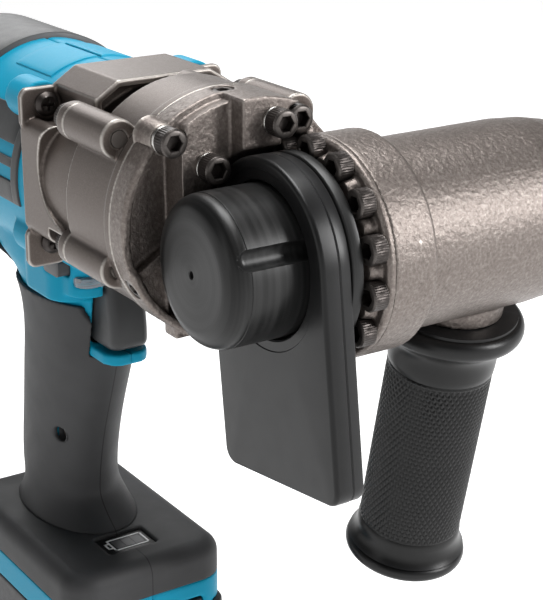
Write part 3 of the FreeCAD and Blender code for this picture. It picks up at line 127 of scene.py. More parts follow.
class Paint:
    """A node material: a Principled shader and short calls that add texture to it."""

    def __init__(self, name, colour, roughness=0.5, metallic=0.0, **values):
        self.material = bpy.data.materials.new(name)
        self.material.use_nodes = True
        self.tree = self.material.node_tree
        self.shader = self.tree.nodes["Principled BSDF"]
        self.colour = (*colour, 1)
        self.shader.inputs["Base Color"].default_value = self.colour
        self.shader.inputs["Roughness"].default_value = roughness
        self.shader.inputs["Metallic"].default_value = metallic
        for key, value in values.items():
            self.shader.inputs[key.replace("_", " ")].default_value = value
        self.place = self.node("ShaderNodeTexCoord").outputs["Object"]
        self.normal = None

    def node(self, kind, **inputs):
        item = self.tree.nodes.new(kind)
        for key, value in inputs.items():
            socket = item.inputs[key.replace("_", " ")]
            if isinstance(value, bpy.types.NodeSocket):
                self.tree.links.new(value, socket)
            else:
                socket.default_value = value
        return item

    def noise(self, scale, detail=3.0, roughness=0.55, stretch=None):
        place = self.place
        if stretch:
            place = self.node("ShaderNodeMapping", Vector=place, Scale=stretch).outputs[0]
        return self.node("ShaderNodeTexNoise", Vector=place, Scale=scale, Detail=detail,
                         Roughness=roughness).outputs[0]

    def cells(self, scale):
        return self.node("ShaderNodeTexVoronoi", Vector=self.place, Scale=scale).outputs["Distance"]

    def math(self, operation, first, second=0.0):
        item = self.tree.nodes.new("ShaderNodeMath")
        item.operation = operation
        for socket, value in zip(item.inputs, (first, second)):
            if isinstance(value, bpy.types.NodeSocket):
                self.tree.links.new(value, socket)
            else:
                socket.default_value = value
        return item.outputs[0]

    def axis(self, name):
        """One coordinate of the surface point: X, Y or Z."""
        return self.node("ShaderNodeSeparateXYZ", Vector=self.place).outputs[name]

    def rings(self, centre, scale):
        """Noise that only changes with the distance from a line along Y, as turning leaves it."""
        shift = self.node("ShaderNodeMapping", Vector=self.place, Location=(-centre.x, 0, -centre.z),
                          Scale=(1, 0, 1)).outputs[0]
        length = self.tree.nodes.new("ShaderNodeVectorMath")
        length.operation = "LENGTH"
        self.tree.links.new(shift, length.inputs[0])
        spot = self.node("ShaderNodeCombineXYZ", X=length.outputs["Value"], Y=self.axis("Y"))
        return self.node("ShaderNodeTexNoise", Vector=spot.outputs[0], Scale=scale,
                         Detail=2.0).outputs[0]

    def spread(self, value, low, high, out_low=0.0, out_high=1.0):
        item = self.node("ShaderNodeMapRange", Value=value)
        for key, number in zip(("From Min", "From Max", "To Min", "To Max"),
                               (low, high, out_low, out_high)):
            item.inputs[key].default_value = number
        return item.outputs[0]

    def edges(self, low, high):
        """1 on convex edges and 0 elsewhere, or the other way for hollows when low is above high. The paints use
        these masks for painted highlights on edges and painted shade in hollows.
        """
        return self.spread(self.tree.nodes.new("ShaderNodeNewGeometry").outputs["Pointiness"],
                           low, high)

    def tint(self, factor, colour):
        """Mixes another colour over what the shader has, where factor is 1."""
        item = self.tree.nodes.new("ShaderNodeMix")
        item.data_type = "RGBA"
        self.tree.links.new(factor, item.inputs[0])
        base = self.shader.inputs["Base Color"]
        if base.links:
            self.tree.links.new(base.links[0].from_socket, item.inputs[6])
        else:
            item.inputs[6].default_value = self.colour
        item.inputs[7].default_value = (*colour, 1)
        self.tree.links.new(item.outputs[2], base)

    def gloss(self, value, low, high):
        """Roughness from low to high as value goes from 0 to 1."""
        self.tree.links.new(self.spread(value, 0, 1, low, high), self.shader.inputs["Roughness"])

    def bump(self, height, strength, distance):
        """Fine relief on top of whatever relief the paint has already."""
        item = self.node("ShaderNodeBump", Height=height, Strength=strength)
        item.inputs["Distance"].default_value = distance
        if self.normal:
            self.tree.links.new(self.normal, item.inputs["Normal"])
        self.normal = item.outputs[0]
        self.tree.links.new(self.normal, self.shader.inputs["Normal"])


def make_paints():
    """Every finish, under a short name."""
    paints = {}

    paint = Paint("TurquoiseShell", (0.003, 0.24, 0.38), 0.4, Specular_IOR_Level=0.1)
    paint.tint(paint.spread(paint.noise(14), 0.35, 0.7, 0, 0.4), (0.006, 0.27, 0.41))
    # Painted highlight: the shell is lighter along its convex edges, where light catches the rounding.
    paint.tint(paint.edges(0.54, 0.62), (0.03, 0.34, 0.48))
    paint.gloss(paint.noise(900, 2), 0.34, 0.48)
    paint.bump(paint.noise(2600, 2), 0.12, 0.0002)
    paints["turquoise"] = paint

    paint = Paint("SoftRubber", (0.026, 0.026, 0.027), 0.6, Specular_IOR_Level=0.35)
    paint.tint(paint.spread(paint.noise(28, 5), 0.4, 0.75, 0, 0.55), (0.042, 0.042, 0.044))
    paint.tint(paint.spread(paint.math("ABSOLUTE", paint.axis("Y")), 0.00018, 0.0003, 1, 0),
               (0.004, 0.004, 0.004))
    paint.gloss(paint.noise(60, 4), 0.48, 0.7)
    paint.bump(paint.noise(3200, 2), 0.25, 0.0002)
    paint.bump(paint.noise(45, 3), 0.25, 0.0012)
    paints["rubber"] = paint

    paint = Paint("BlackPlastic", (0.006, 0.006, 0.0062), 0.32, Specular_IOR_Level=0.28)
    # Painted highlight: the black plastic is lighter along its convex edges.
    paint.tint(paint.edges(0.53, 0.6), (0.035, 0.035, 0.036))
    paint.tint(paint.spread(paint.noise(24, 4), 0.45, 0.7, 0, 0.5), (0.013, 0.013, 0.0135))
    paint.gloss(paint.noise(120, 4), 0.27, 0.42)
    paint.bump(paint.noise(2400, 2), 0.1, 0.0001)
    paints["plastic"] = paint

    paint = Paint("GreyPlastic", (0.026, 0.027, 0.028), 0.42, Specular_IOR_Level=0.35)
    # Painted highlight: the grey plastic is lighter along its convex edges.
    paint.tint(paint.edges(0.53, 0.6), (0.07, 0.07, 0.072))
    paint.gloss(paint.noise(180, 4), 0.34, 0.5)
    paint.bump(paint.noise(2600, 2), 0.2, 0.0002)
    paints["grey"] = paint

    paint = Paint("BatteryPlastic", (0.016, 0.016, 0.018), 0.5)
    paint.tint(paint.spread(paint.noise(40, 4), 0.4, 0.7, 0, 0.5), (0.026, 0.026, 0.028))
    paint.gloss(paint.noise(500, 3), 0.42, 0.6)
    paint.bump(paint.noise(2800, 2), 0.3, 0.0002)
    paints["battery"] = paint

    paint = Paint("HandleRubber", (0.004, 0.004, 0.004), 0.34, Specular_IOR_Level=0.3)
    # Painted highlight: the handle rubber is lighter along its convex edges.
    paint.tint(paint.edges(0.5, 0.58), (0.014, 0.014, 0.015))
    paint.gloss(paint.noise(90, 4), 0.26, 0.44)
    paint.bump(paint.noise(2200, 2), 0.08, 0.0001)
    paints["handle"] = paint

    paint = Paint("CastPaint", (0.122, 0.101, 0.090), 0.38, 0.8)
    paint.tint(paint.spread(paint.noise(2400, 3), 0.45, 0.62, 0, 0.4), (0.19, 0.165, 0.15))
    # Painted highlight: much lighter along convex edges.
    paint.tint(paint.edges(0.515, 0.57), (0.62, 0.59, 0.55))
    # Painted shade: darker in hollows and creases.
    paint.tint(paint.edges(0.49, 0.44), (0.035, 0.028, 0.024))
    paint.gloss(paint.noise(1500, 3), 0.3, 0.5)
    paint.bump(paint.noise(2200, 3, 0.7), 0.35, 0.0002)
    paints["cast"] = paint

    paint = Paint("SandCast", (0.17, 0.145, 0.132), 0.42, 0.78)
    grain = paint.noise(850, 4, 0.6)
    paint.tint(paint.spread(grain, 0.5, 0.72, 0, 0.55), (0.32, 0.29, 0.265))
    paint.tint(paint.spread(grain, 0.46, 0.3, 0, 0.6), (0.09, 0.075, 0.066))
    # Painted highlight: lighter along convex edges.
    paint.tint(paint.edges(0.53, 0.62), (0.42, 0.39, 0.36))
    # Painted shade: darker in hollows and creases.
    paint.tint(paint.edges(0.47, 0.4), (0.03, 0.024, 0.02))
    paint.gloss(paint.noise(1200, 3), 0.34, 0.52)
    paint.bump(grain, 0.42, 0.0005)
    paint.bump(paint.noise(330, 3), 0.3, 0.0008)
    paints["sand_cast"] = paint

    paint = Paint("BlackenedSteel", (0.009, 0.009, 0.009), 0.32, 0.25, Anisotropic=0.6,
                  Specular_IOR_Level=0.34)
    marks = paint.rings(BARREL, 420)
    paint.tint(paint.spread(marks, 0.4, 0.65, 0, 0.6), (0.030, 0.030, 0.030))
    paint.gloss(marks, 0.26, 0.42)
    paint.bump(paint.rings(BARREL, 1500), 0.12, 0.0001)
    tangent = paint.tree.nodes.new("ShaderNodeTangent")
    tangent.direction_type = "RADIAL"
    tangent.axis = "Y"
    paint.tree.links.new(tangent.outputs[0], paint.shader.inputs["Tangent"])
    paints["black_steel"] = paint

    paint = Paint("ScrewSteel", (0.055, 0.048, 0.045), 0.36, 0.85)
    paint.tint(paint.spread(paint.noise(260, 4), 0.45, 0.7, 0, 0.7), (0.028, 0.023, 0.021))
    # Painted highlight: the screws are lighter along their convex edges.
    paint.tint(paint.edges(0.53, 0.6), (0.24, 0.22, 0.205))
    paint.gloss(paint.noise(800, 3), 0.26, 0.5)
    paints["screw"] = paint

    paint = Paint("BrightSteel", (0.55, 0.54, 0.52), 0.25, 1.0)
    paint.tint(paint.spread(paint.noise(300, 3), 0.5, 0.8, 0, 0.4), (0.35, 0.34, 0.33))
    paint.gloss(paint.noise(600, 3), 0.16, 0.36)
    paints["bright"] = paint

    paint = Paint("GearSteel", (0.36, 0.36, 0.37), 0.3, 1.0)
    paint.tint(paint.spread(paint.noise(150, 4), 0.5, 0.8, 0, 0.5), (0.2, 0.2, 0.205))
    paint.gloss(paint.noise(900, 3), 0.2, 0.42)
    paint.bump(paint.noise(40, 2, stretch=(60, 1, 1)), 0.08, 0.0001)
    paints["gear"] = paint

    paint = Paint("Copper", (0.62, 0.25, 0.11), 0.34, 1.0)
    paint.gloss(paint.noise(500, 3), 0.24, 0.45)
    paint.bump(paint.noise(90, 2, stretch=(1, 1, 14)), 0.3, 0.0003)
    paints["copper"] = paint

    paint = Paint("Board", (0.012, 0.10, 0.045), 0.42)
    paint.tint(paint.spread(paint.cells(420), 0.0, 0.14, 0.7, 0), (0.45, 0.36, 0.16))
    paint.gloss(paint.noise(300, 2), 0.3, 0.5)
    paints["board"] = paint

    paint = Paint("Cell", (0.03, 0.12, 0.34), 0.28)
    paint.gloss(paint.noise(200, 3), 0.2, 0.36)
    paint.bump(paint.noise(300, 2), 0.1, 0.0001)
    paints["cell"] = paint

    paint = Paint("Lens", (0.86, 0.90, 0.93), 0.06, Transmission_Weight=0.85, IOR=1.49)
    paint.bump(paint.noise(260, 1), 0.05, 0.0002)
    paints["lens"] = paint

    paint = Paint("CellMark", (0.07, 0.072, 0.075), 0.4)
    paint.gloss(paint.noise(400, 2), 0.3, 0.5)
    paints["cell_mark"] = paint

    paint = Paint("Icon", (0.85, 0.85, 0.85), 0.4)
    paint.gloss(paint.noise(400, 2), 0.3, 0.5)
    paints["icon"] = paint
    return paints


# The paint for each material slot that the CAD record names.
SLOT_PAINT = {
    "turquoise_shell": "turquoise", "soft_rubber": "rubber", "black_plastic": "plastic",
    "battery_plastic": "battery", "handle_rubber": "handle", "cast_alloy": "cast",
    "sand_cast": "sand_cast", "blackened_steel": "black_steel", "screw_steel": "screw",
    "bright_steel": "bright", "gear_steel": "gear", "tool_steel": "gear",
    "bearing_steel": "bright", "motor_iron": "gear", "copper_wire": "copper",
    "fan_plastic": "plastic", "circuit_board": "board", "clear_lens": "lens",
    "cell_sleeve": "cell"}


# ---------------------------------------------------------------- mesh helpers

def new_object(name, verts, faces, paint):
    """A mesh object whose faces all point outward."""
    mesh = bpy.data.meshes.new(name)
    mesh.from_pydata([tuple(vert) for vert in verts], [], faces)
    mesh.validate()
    outward = bmesh.new()
    outward.from_mesh(mesh)
    bmesh.ops.recalc_face_normals(outward, faces=outward.faces)
    outward.to_mesh(mesh)
    outward.free()
    item = bpy.data.objects.new(name, mesh)
    bpy.context.scene.collection.objects.link(item)
    mesh.materials.append(paint.material)
    shade(item)
    return item


def shade(item, angle=35):
    """Smooth shading, with creases where faces meet at more than the angle in degrees."""
    for face in item.data.polygons:
        face.use_smooth = True
    item.data.set_sharp_from_angle(angle=math.radians(angle))


def stand_for(item, slot_name, *nodes):
    """The piece takes the place of these CAD nodes, on their body."""
    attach(item, BODY_OF[nodes[0]])
    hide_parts(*nodes)


def on_machine(item):
    """The piece is an extra one that is fixed to the machine's body."""
    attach(item, "machine")


def applied(item):
    """Turns the object's modifiers into plain mesh."""
    bpy.context.view_layer.update()
    graph = bpy.context.evaluated_depsgraph_get()
    mesh = bpy.data.meshes.new_from_object(item.evaluated_get(graph))
    item.modifiers.clear()
    item.data = mesh


def copy_of(node, suffix, paint):
    """A welded copy of a CAD node's mesh, as a new object."""
    mesh = NODES[node].data.copy()
    mesh.name = node + suffix
    mesh.materials.clear()
    mesh.materials.append(paint.material)
    item = bpy.data.objects.new(mesh.name, mesh)
    bpy.context.scene.collection.objects.link(item)
    welder = item.modifiers.new("Weld", "WELD")
    welder.merge_threshold = 0.00001
    return item


def cast_copy(node, paint, voxel, rounding, grain=0.0, grain_size=2.6 * MM, cutters=()):
    """A finer copy of a CAD node with rounded edges and, if asked, a rough cast skin."""
    item = copy_of(node, "_skin", paint)
    for cutter in cutters:
        carve = item.modifiers.new("Carve", "BOOLEAN")
        carve.operation = "DIFFERENCE"
        carve.solver = "EXACT"
        carve.object = cutter
    remesh = item.modifiers.new("Remesh", "REMESH")
    remesh.mode = "VOXEL"
    remesh.voxel_size = voxel
    remesh.use_smooth_shade = True
    smooth = item.modifiers.new("Smooth", "SMOOTH")
    smooth.factor = 0.5
    smooth.iterations = rounding
    applied(item)
    for cutter in cutters:
        bpy.data.objects.remove(cutter)
    if grain:
        roughen(item.data, grain, grain_size)
    for face in item.data.polygons:
        face.use_smooth = True
    return item


def bevelled_copy(node, paint, width, segments=2):
    """A copy of a CAD node whose sharp edges are rounded by a bevel."""
    item = copy_of(node, "_edged", paint)
    edge = item.modifiers.new("RoundEdges", "BEVEL")
    edge.width = width
    edge.segments = segments
    edge.limit_method = "ANGLE"
    edge.angle_limit = math.radians(32)
    applied(item)
    shade(item, 50)
    return item


def at(x, y, z):
    """A point from millimetres counted from the barrel's axis."""
    return BARREL + Vector((x, y, z)) * MM


def block(start, end, paint):
    """A box between two opposite corners, given in millimetres from the barrel's axis."""
    low = at(*map(min, start, end))
    high = at(*map(max, start, end))
    verts = [(x, y, z) for x in (low.x, high.x) for y in (low.y, high.y) for z in (low.z, high.z)]
    faces = [(0, 1, 3, 2), (4, 6, 7, 5), (0, 4, 5, 1), (2, 3, 7, 6), (0, 2, 6, 4), (1, 5, 7, 3)]
    return new_object("Cutter", verts, faces, paint)


def roughen(mesh, depth, size):
    """Moves each vertex along its normal by a fixed noise, for a cast skin."""
    count = len(mesh.vertices)
    points = np.empty(count * 3, np.float32)
    mesh.vertices.foreach_get("co", points)
    normals = np.empty(count * 3, np.float32)
    mesh.vertices.foreach_get("normal", normals)
    points = points.reshape(-1, 3)
    normals = normals.reshape(-1, 3)
    lift = np.array([noise.noise(Vector(point) / size) + 0.5 * noise.noise(Vector(point) / size * 2.3)
                     for point in points.tolist()], np.float32)
    points += normals * (lift * depth)[:, None]
    mesh.vertices.foreach_set("co", points.ravel())
    mesh.update()


def axes_for(direction):
    """The direction as a unit vector, and two more that stand square to it and to each other."""
    forward = Vector(direction).normalized()
    helper = Vector((0, 0, 1)) if abs(forward.z) < 0.9 else Vector((1, 0, 0))
    side = helper.cross(forward).normalized()
    return forward, side, forward.cross(side)


def lathe(name, outline, centre, direction, paint, steps=128, radius_at=None):
    """Turns an open or closed outline of (along, radius) about a line. radius_at(along, radius,
    angle) may change the radius, for flutes and knurls."""
    forward, side, up = axes_for(direction)
    verts = []
    rows = []
    for along, radius in outline:
        base = Vector(centre) + forward * along
        if radius < 1e-9:
            rows.append([len(verts)])
            verts.append(base)
            continue
        rows.append(list(range(len(verts), len(verts) + steps)))
        for step in range(steps):
            angle = TURN * step / steps
            reach = radius_at(along, radius, angle) if radius_at else radius
            verts.append(base + side * (reach * math.cos(angle)) + up * (reach * math.sin(angle)))
    faces = []
    for row, following in zip(rows, rows[1:]):
        for step in range(steps):
            beside = (step + 1) % steps
            if len(row) == 1 and len(following) == 1:
                continue
            if len(row) == 1:
                faces.append((row[0], following[step], following[beside]))
            elif len(following) == 1:
                faces.append((row[step], following[0], row[beside]))
            else:
                faces.append((row[step], following[step], following[beside], row[beside]))
    return new_object(name, verts, faces, paint)


def islands(node):
    """Bounding boxes of the separate solids of a CAD node, as (low, high)."""
    mesh = bmesh.new()
    mesh.from_mesh(NODES[node].data)
    bmesh.ops.remove_doubles(mesh, verts=mesh.verts, dist=1e-6)
    seen = set()
    boxes = []
    for start in mesh.verts:
        if start in seen:
            continue
        stack = [start]
        seen.add(start)
        group = []
        while stack:
            vert = stack.pop()
            group.append(vert.co)
            for edge in vert.link_edges:
                other = edge.other_vert(vert)
                if other not in seen:
                    seen.add(other)
                    stack.append(other)
        low = Vector([min(point[axis] for point in group) for axis in range(3)])
        high = Vector([max(point[axis] for point in group) for axis in range(3)])
        boxes.append((low, high))
    mesh.free()
    return boxes


def join(items, name):
    """Joins finished pieces into one object."""
    merged = bmesh.new()
    for item in items:
        part = item.data.copy()
        part.transform(item.matrix_world)
        merged.from_mesh(part)
    mesh = bpy.data.meshes.new(name)
    merged.to_mesh(mesh)
    merged.free()
    mesh.materials.append(items[0].data.materials[0])
    joined = bpy.data.objects.new(name, mesh)
    bpy.context.scene.collection.objects.link(joined)
    for item in items:
        bpy.data.objects.remove(item)
    shade(joined)
    return joined


# ---------------------------------------------------------------- fasteners

def cap_head(name, seat, direction, length, radius, paint):
    """The head of a socket cap screw: knurled side, chamfered rim and hexagon socket."""
    knurls = 34
    depth = 0.16 * MM
    socket = radius * 0.58
    rim = radius * 0.9

    def reach(along, size, angle):
        if size < socket * 1.2:
            sector = TURN / 6
            offset = (angle % sector) - sector / 2
            return size * math.cos(sector / 2) / math.cos(offset)
        if size > radius * 0.97 and 0.4 * MM < along < length - 0.9 * MM:
            return size - depth * (0.5 + 0.5 * math.cos(angle * knurls))
        return size

    outline = [(0, 0), (0, radius * 0.94), (0.3 * MM, radius), (0.6 * MM, radius),
               (length * 0.5, radius), (length - 1.0 * MM, radius), (length - 0.7 * MM, radius),
               (length - 0.1 * MM, rim), (length, rim - 0.15 * MM), (length, socket * 1.14),
               (length - 0.3 * MM, socket), (length - 3.2 * MM, socket), (length - 3.2 * MM, 0)]
    return lathe(name, outline, seat, direction, paint, knurls * 4, reach)


def make_cap_screws(node, direction, head_length, paint):
    """Detailed screws where the CAD node has its own. The head is the end that `direction` faces."""
    forward = Vector(direction)
    axis = max(range(3), key=lambda index: abs(forward[index]))
    parts = []
    for number, (low, high) in enumerate(islands(node)):
        middle = (low + high) / 2
        across = [high[index] - low[index] for index in range(3) if index != axis]
        radius = max(across) / 2
        tip = high[axis] if forward[axis] > 0 else low[axis]
        foot = low[axis] if forward[axis] > 0 else high[axis]
        seat = middle.copy()
        seat[axis] = tip - forward[axis] * head_length
        parts.append(cap_head("head%d" % number, seat, forward, head_length, radius, paint))
        start = middle.copy()
        start[axis] = foot
        reach = abs(seat[axis] - foot)
        parts.append(lathe("shank%d" % number, [(0, 0), (0, radius * 0.6), (reach, radius * 0.6),
                                                (reach, 0)], start, forward, paint, 24))
    return join(parts, node + "_detail")


# ---------------------------------------------------------------- black parts at the front

def make_knob(paints):
    """Turned knob with three round-bottomed flutes that end in ball-shaped runouts."""
    low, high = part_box("turn_knob")
    front = low.y - BARREL.y
    back = high.y - BARREL.y
    radius = (high.x - low.x) / 2
    shoulder = front + 7.1 * MM
    flute = 3.8 * MM
    centre = radius + 1.0 * MM
    ball = shoulder - 0.4 * MM
    forward, side, up = axes_for((0, 1, 0))
    first = math.atan2(Vector((1, 0, 0)).dot(up), Vector((1, 0, 0)).dot(side))
    lean = math.radians(23)

    def reach(along, size, angle):
        section = flute if along >= ball else math.sqrt(max(flute ** 2 - (ball - along) ** 2, 0))
        best = size
        for turn in range(3):
            offset = angle - first + lean - TURN * turn / 3
            offset = (offset + math.pi) % TURN - math.pi
            across = centre * math.sin(offset)
            if abs(offset) < 0.5 and abs(across) < section:
                best = min(best, centre * math.cos(offset) - math.sqrt(section ** 2 - across ** 2))
        return best

    rim = radius - 7.5 * MM
    lip = radius - 0.22 * MM
    outline = [(front + 2.6 * MM, 0), (front + 2.4 * MM, 0.9 * MM), (front + 0.3 * MM, 1.25 * MM),
               (front, 1.6 * MM)]
    outline += [(front, 1.6 * MM + (rim - 1.6 * MM) * step / 6) for step in range(1, 7)]
    for step in range(1, 25):
        angle = step / 24 * math.pi / 2
        outline.append((front + (shoulder - front) * (1 - math.cos(angle)) * 0.99,
                        rim + (lip - rim) * math.sin(angle) ** 1.15))
    outline += [(shoulder, lip), (shoulder + 0.12 * MM, radius - 0.04 * MM)]
    rows = 26
    outline += [(shoulder + 0.2 * MM + 4 * MM * step / rows, radius) for step in range(rows + 1)]
    outline += [(back, radius), (back, 10 * MM), (front + 22.5 * MM, 10 * MM)]
    knob = lathe("knob_turned", outline, BARREL, (0, 1, 0), paints["black_steel"], 720, reach)
    stand_for(knob, "blackened_steel", "turn_knob")


def tongue_outline(radius, drop, corner, inset):
    """Points round the shield's edge, drawn in from it by `inset`, as (x, z) about the barrel."""
    half = radius - inset
    foot = drop - inset
    bend = max(corner - inset, 0.2 * MM)
    points = []
    for step in range(97):
        angle = math.pi * step / 96
        points.append((half * math.cos(angle), half * math.sin(angle)))
    for step in range(1, 12):
        points.append((-half, -(foot - bend) * step / 12))
    for step in range(13):
        angle = math.pi + math.pi / 2 * step / 12
        points.append((-half + bend + bend * math.cos(angle), -foot + bend + bend * math.sin(angle)))
    for step in range(1, 12):
        points.append((-half + bend + (2 * half - 2 * bend) * step / 12, -foot))
    for step in range(13):
        angle = -math.pi / 2 + math.pi / 2 * step / 12
        points.append((half - bend + bend * math.cos(angle), -foot + bend + bend * math.sin(angle)))
    for step in range(11, 0, -1):
        points.append((half, -(foot - bend) * step / 12))
    return points


def make_shield_half(node, rows, bore_rows, paint):
    """One half of the shield. rows give (y, inset) of the outer edge from front to back, and
    bore_rows (y, radius) of the bore from back to front."""
    radius = 35 * MM
    drop = 79 * MM
    corner = 6 * MM
    tilt = Matrix.Rotation(math.radians(-7.5), 3, "Y")
    loops = []
    for y, inset in rows:
        loops.append([Vector((x, y, z)) for x, z in tongue_outline(radius, drop, corner, inset)])
    angles = [math.atan2(z, x) for x, z in tongue_outline(radius, drop, corner, 0)]
    for y, size in bore_rows:
        loops.append([Vector((size * math.cos(angle), y, size * math.sin(angle)))
                      for angle in angles])
    count = len(angles)
    verts = [tilt @ point + BARREL for loop in loops for point in loop]
    faces = []
    for index in range(len(loops)):
        following = (index + 1) % len(loops)
        for step in range(count):
            beside = (step + 1) % count
            faces.append((index * count + step, index * count + beside,
                          following * count + beside, following * count + step))
    item = new_object(node + "_moulded", verts, faces, paint)
    stand_for(item, "black_plastic", node)


def make_shield(paints):
    """Both halves of the shield, with a fine groove between them, and the collar behind."""
    front = -7 * MM
    seam = -0.05 * MM
    rounding = 1.6 * MM
    rows = [(front + rounding * (1 - math.cos(math.pi / 2 * step / 6)),
             rounding * (1 - math.sin(math.pi / 2 * step / 6))) for step in range(7)]
    rows += [(-0.5 * MM, 0), (seam, 0.45 * MM)]
    bore = [(seam, 27.2 * MM), (front + 0.8 * MM, 27.2 * MM), (front + 0.3 * MM, 27.8 * MM),
            (front + 0.3 * MM, 31 * MM), (front, 31.3 * MM)]
    make_shield_half("shield_front", rows, bore, paints["plastic"])
    back = 4.5 * MM
    seam = 0.02 * MM
    rows = [(seam, 0.5 * MM), (0.5 * MM, 0.15 * MM), (back - 1.0 * MM, 0.15 * MM),
            (back - 0.3 * MM, 0.45 * MM), (back, 1.1 * MM)]
    bore = [(back, 30.05 * MM), (seam, 30.05 * MM)]
    make_shield_half("shield_rear", rows, bore, paints["plastic"])
    low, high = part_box("shield_collar")
    radius = (high.x - low.x) / 2
    start = low.y
    end = high.y
    bore_radius = 26.9 * MM
    seat_radius = 29.95 * MM
    ledge = 5 * MM
    outline = [(start, bore_radius), (start, seat_radius), (ledge, seat_radius),
               (ledge, radius - 0.7 * MM), (ledge + 0.25 * MM, radius - 0.2 * MM),
               (ledge + 0.6 * MM, radius), (end - 0.5 * MM, radius),
               (end - 0.1 * MM, radius - 0.3 * MM), (end, radius - 0.7 * MM), (end, bore_radius),
               (start, bore_radius)]
    collar = lathe("collar_turned", outline, Vector((BARREL.x, 0, BARREL.z)), (0, 1, 0),
                   paints["black_steel"], 192)
    stand_for(collar, "blackened_steel", "shield_collar")


# ---------------------------------------------------------------- side handle

def make_handle(paints):
    """Moulded handle with a diamond knurl between two smooth bands and two flanges."""
    low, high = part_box("handle_stud")
    tilt = math.radians(12.26)
    down = Vector((-math.sin(tilt), 0, -math.cos(tilt)))
    start = Vector((BARREL.x, (low.y + high.y) / 2, BARREL.z))
    grip = 20.2 * MM
    rim = 28.3 * MM
    flange = 24.07 * MM
    knurl_start = 62 * MM
    knurl_end = 134 * MM
    around = 56
    depth = 0.55 * MM
    pitch = TURN * grip / around

    def reach(along, size, angle):
        if not knurl_start < along < knurl_end:
            return size
        fade = min(1, (along - knurl_start) / MM, (knurl_end - along) / MM)
        turn = angle * around / TURN
        rise = along / (pitch * 1.6)
        groove_one = abs(((turn + rise) % 1) - 0.5) * 2
        groove_two = abs(((turn - rise) % 1) - 0.5) * 2
        peak = min(1, 1.6 * min(groove_one, groove_two))
        return size - depth * fade * (1 - peak)

    outline = [(36 * MM, 6 * MM), (36 * MM, rim - 6 * MM), (36.4 * MM, rim - 3.2 * MM)]
    for step in range(13):
        angle = math.pi * step / 12
        outline.append((41.4 * MM - 4 * MM * math.cos(angle), rim - 3 * MM + 3 * MM * math.sin(angle)))
    for step in range(1, 11):
        share = step / 10
        outline.append((45.6 * MM + 11 * MM * share,
                        grip + 0.4 * MM + (rim - 3.4 * MM - grip) * (1 - share) ** 3.2))
    outline += [(58.5 * MM, grip + 0.35 * MM), (60.4 * MM, grip + 0.2 * MM),
                (61.2 * MM, grip - 0.3 * MM)]
    rows = 240
    for step in range(rows + 1):
        outline.append((knurl_start + (knurl_end - knurl_start) * step / rows, grip))
    outline += [(134.8 * MM, grip - 0.3 * MM), (135.8 * MM, grip + 0.3 * MM),
                (138 * MM, grip + 0.4 * MM)]
    for step in range(1, 8):
        share = step / 7
        outline.append((138 * MM + 6.4 * MM * share, grip + 0.4 * MM
                        + (flange - 1.2 * MM - grip) * share ** 2.4))
    for step in range(13):
        angle = math.pi * step / 12
        outline.append((147.6 * MM - 2.8 * MM * math.cos(angle),
                        flange - 2.4 * MM + 2.4 * MM * math.sin(angle)))
    outline += [(151.2 * MM, flange - 4.4 * MM), (151.8 * MM, flange - 6.4 * MM),
                (151.8 * MM, 9 * MM), (151.2 * MM, 8.4 * MM), (151.2 * MM, 0)]
    item = lathe("handle_moulded", outline, start, down, paints["handle"], around * 8, reach)
    stand_for(item, "handle_rubber", "side_handle")


# ---------------------------------------------------------------- castings

def make_castings(paints):
    """The castings with their rough skin, and the boss under the upper screw of the head."""
    fine = 0.55 * MM
    casting = cast_copy("barrel_casting", paints["sand_cast"], fine, 4, 0.07 * MM, 1.7 * MM)
    stand_for(casting, "sand_cast", "barrel_casting")
    cover = cast_copy("head_cover", paints["sand_cast"], 0.4 * MM, 3, 0.05 * MM, 1.5 * MM)
    stand_for(cover, "cast_alloy", "head_cover")
    case = cast_copy("gear_case", paints["cast"], fine, 3, 0.015 * MM, 2 * MM)
    stand_for(case, "cast_alloy", "gear_case")
    housing = cast_copy("gear_housing", paints["cast"], fine, 3, 0.015 * MM, 2 * MM)
    stand_for(housing, "cast_alloy", "gear_housing")
    nose = cast_copy("nose_ring", paints["sand_cast"], 0.45 * MM, 3, 0.04 * MM, 1.7 * MM)
    stand_for(nose, "sand_cast", "nose_ring")
    outline = [(0, 0), (0, 6.4), (1.5, 5.8), (9.0, 5.6), (9.7, 5.2), (9.7, 0)]
    foot = at(-37.3, -27.9, 38.3)
    boss = lathe("head_screw_boss", [(along * MM, radius * MM) for along, radius in outline],
                 foot, (1, 0, 0), paints["sand_cast"], 64)
    on_machine(boss)


def make_screws(paints):
    screw = paints["screw"]
    heads = {"head_cover_screws": (0, -1, 0), "head_screws": (1, 0, 0), "case_bolts": (-1, 0, 0)}
    for node, direction in heads.items():
        stand_for(make_cap_screws(node, direction, 6 * MM, screw), "screw_steel", node)
    for node in ("gear_housing_screws", "rim_plugs"):
        stand_for(bevelled_copy(node, screw, 0.35 * MM, 3), "screw_steel", node)
    washers = bevelled_copy("spring_washers", paints["bright"], 0.3 * MM, 3)
    stand_for(washers, "bright_steel", "spring_washers")


# ---------------------------------------------------------------- housing, grip and base

GRIP_SCREW = (-147.2, -8, -117.4)     # foot of the screw that closes the grip, as for at()
WELL_RADIUS = 3.3 * MM
WELL_WALL = 0.5 * MM
HOUSING_AXIS = 4.5                    # height of the housing's axis over the barrel's, millimetres
HOUSING_RADIUS = 42.0                 # millimetres


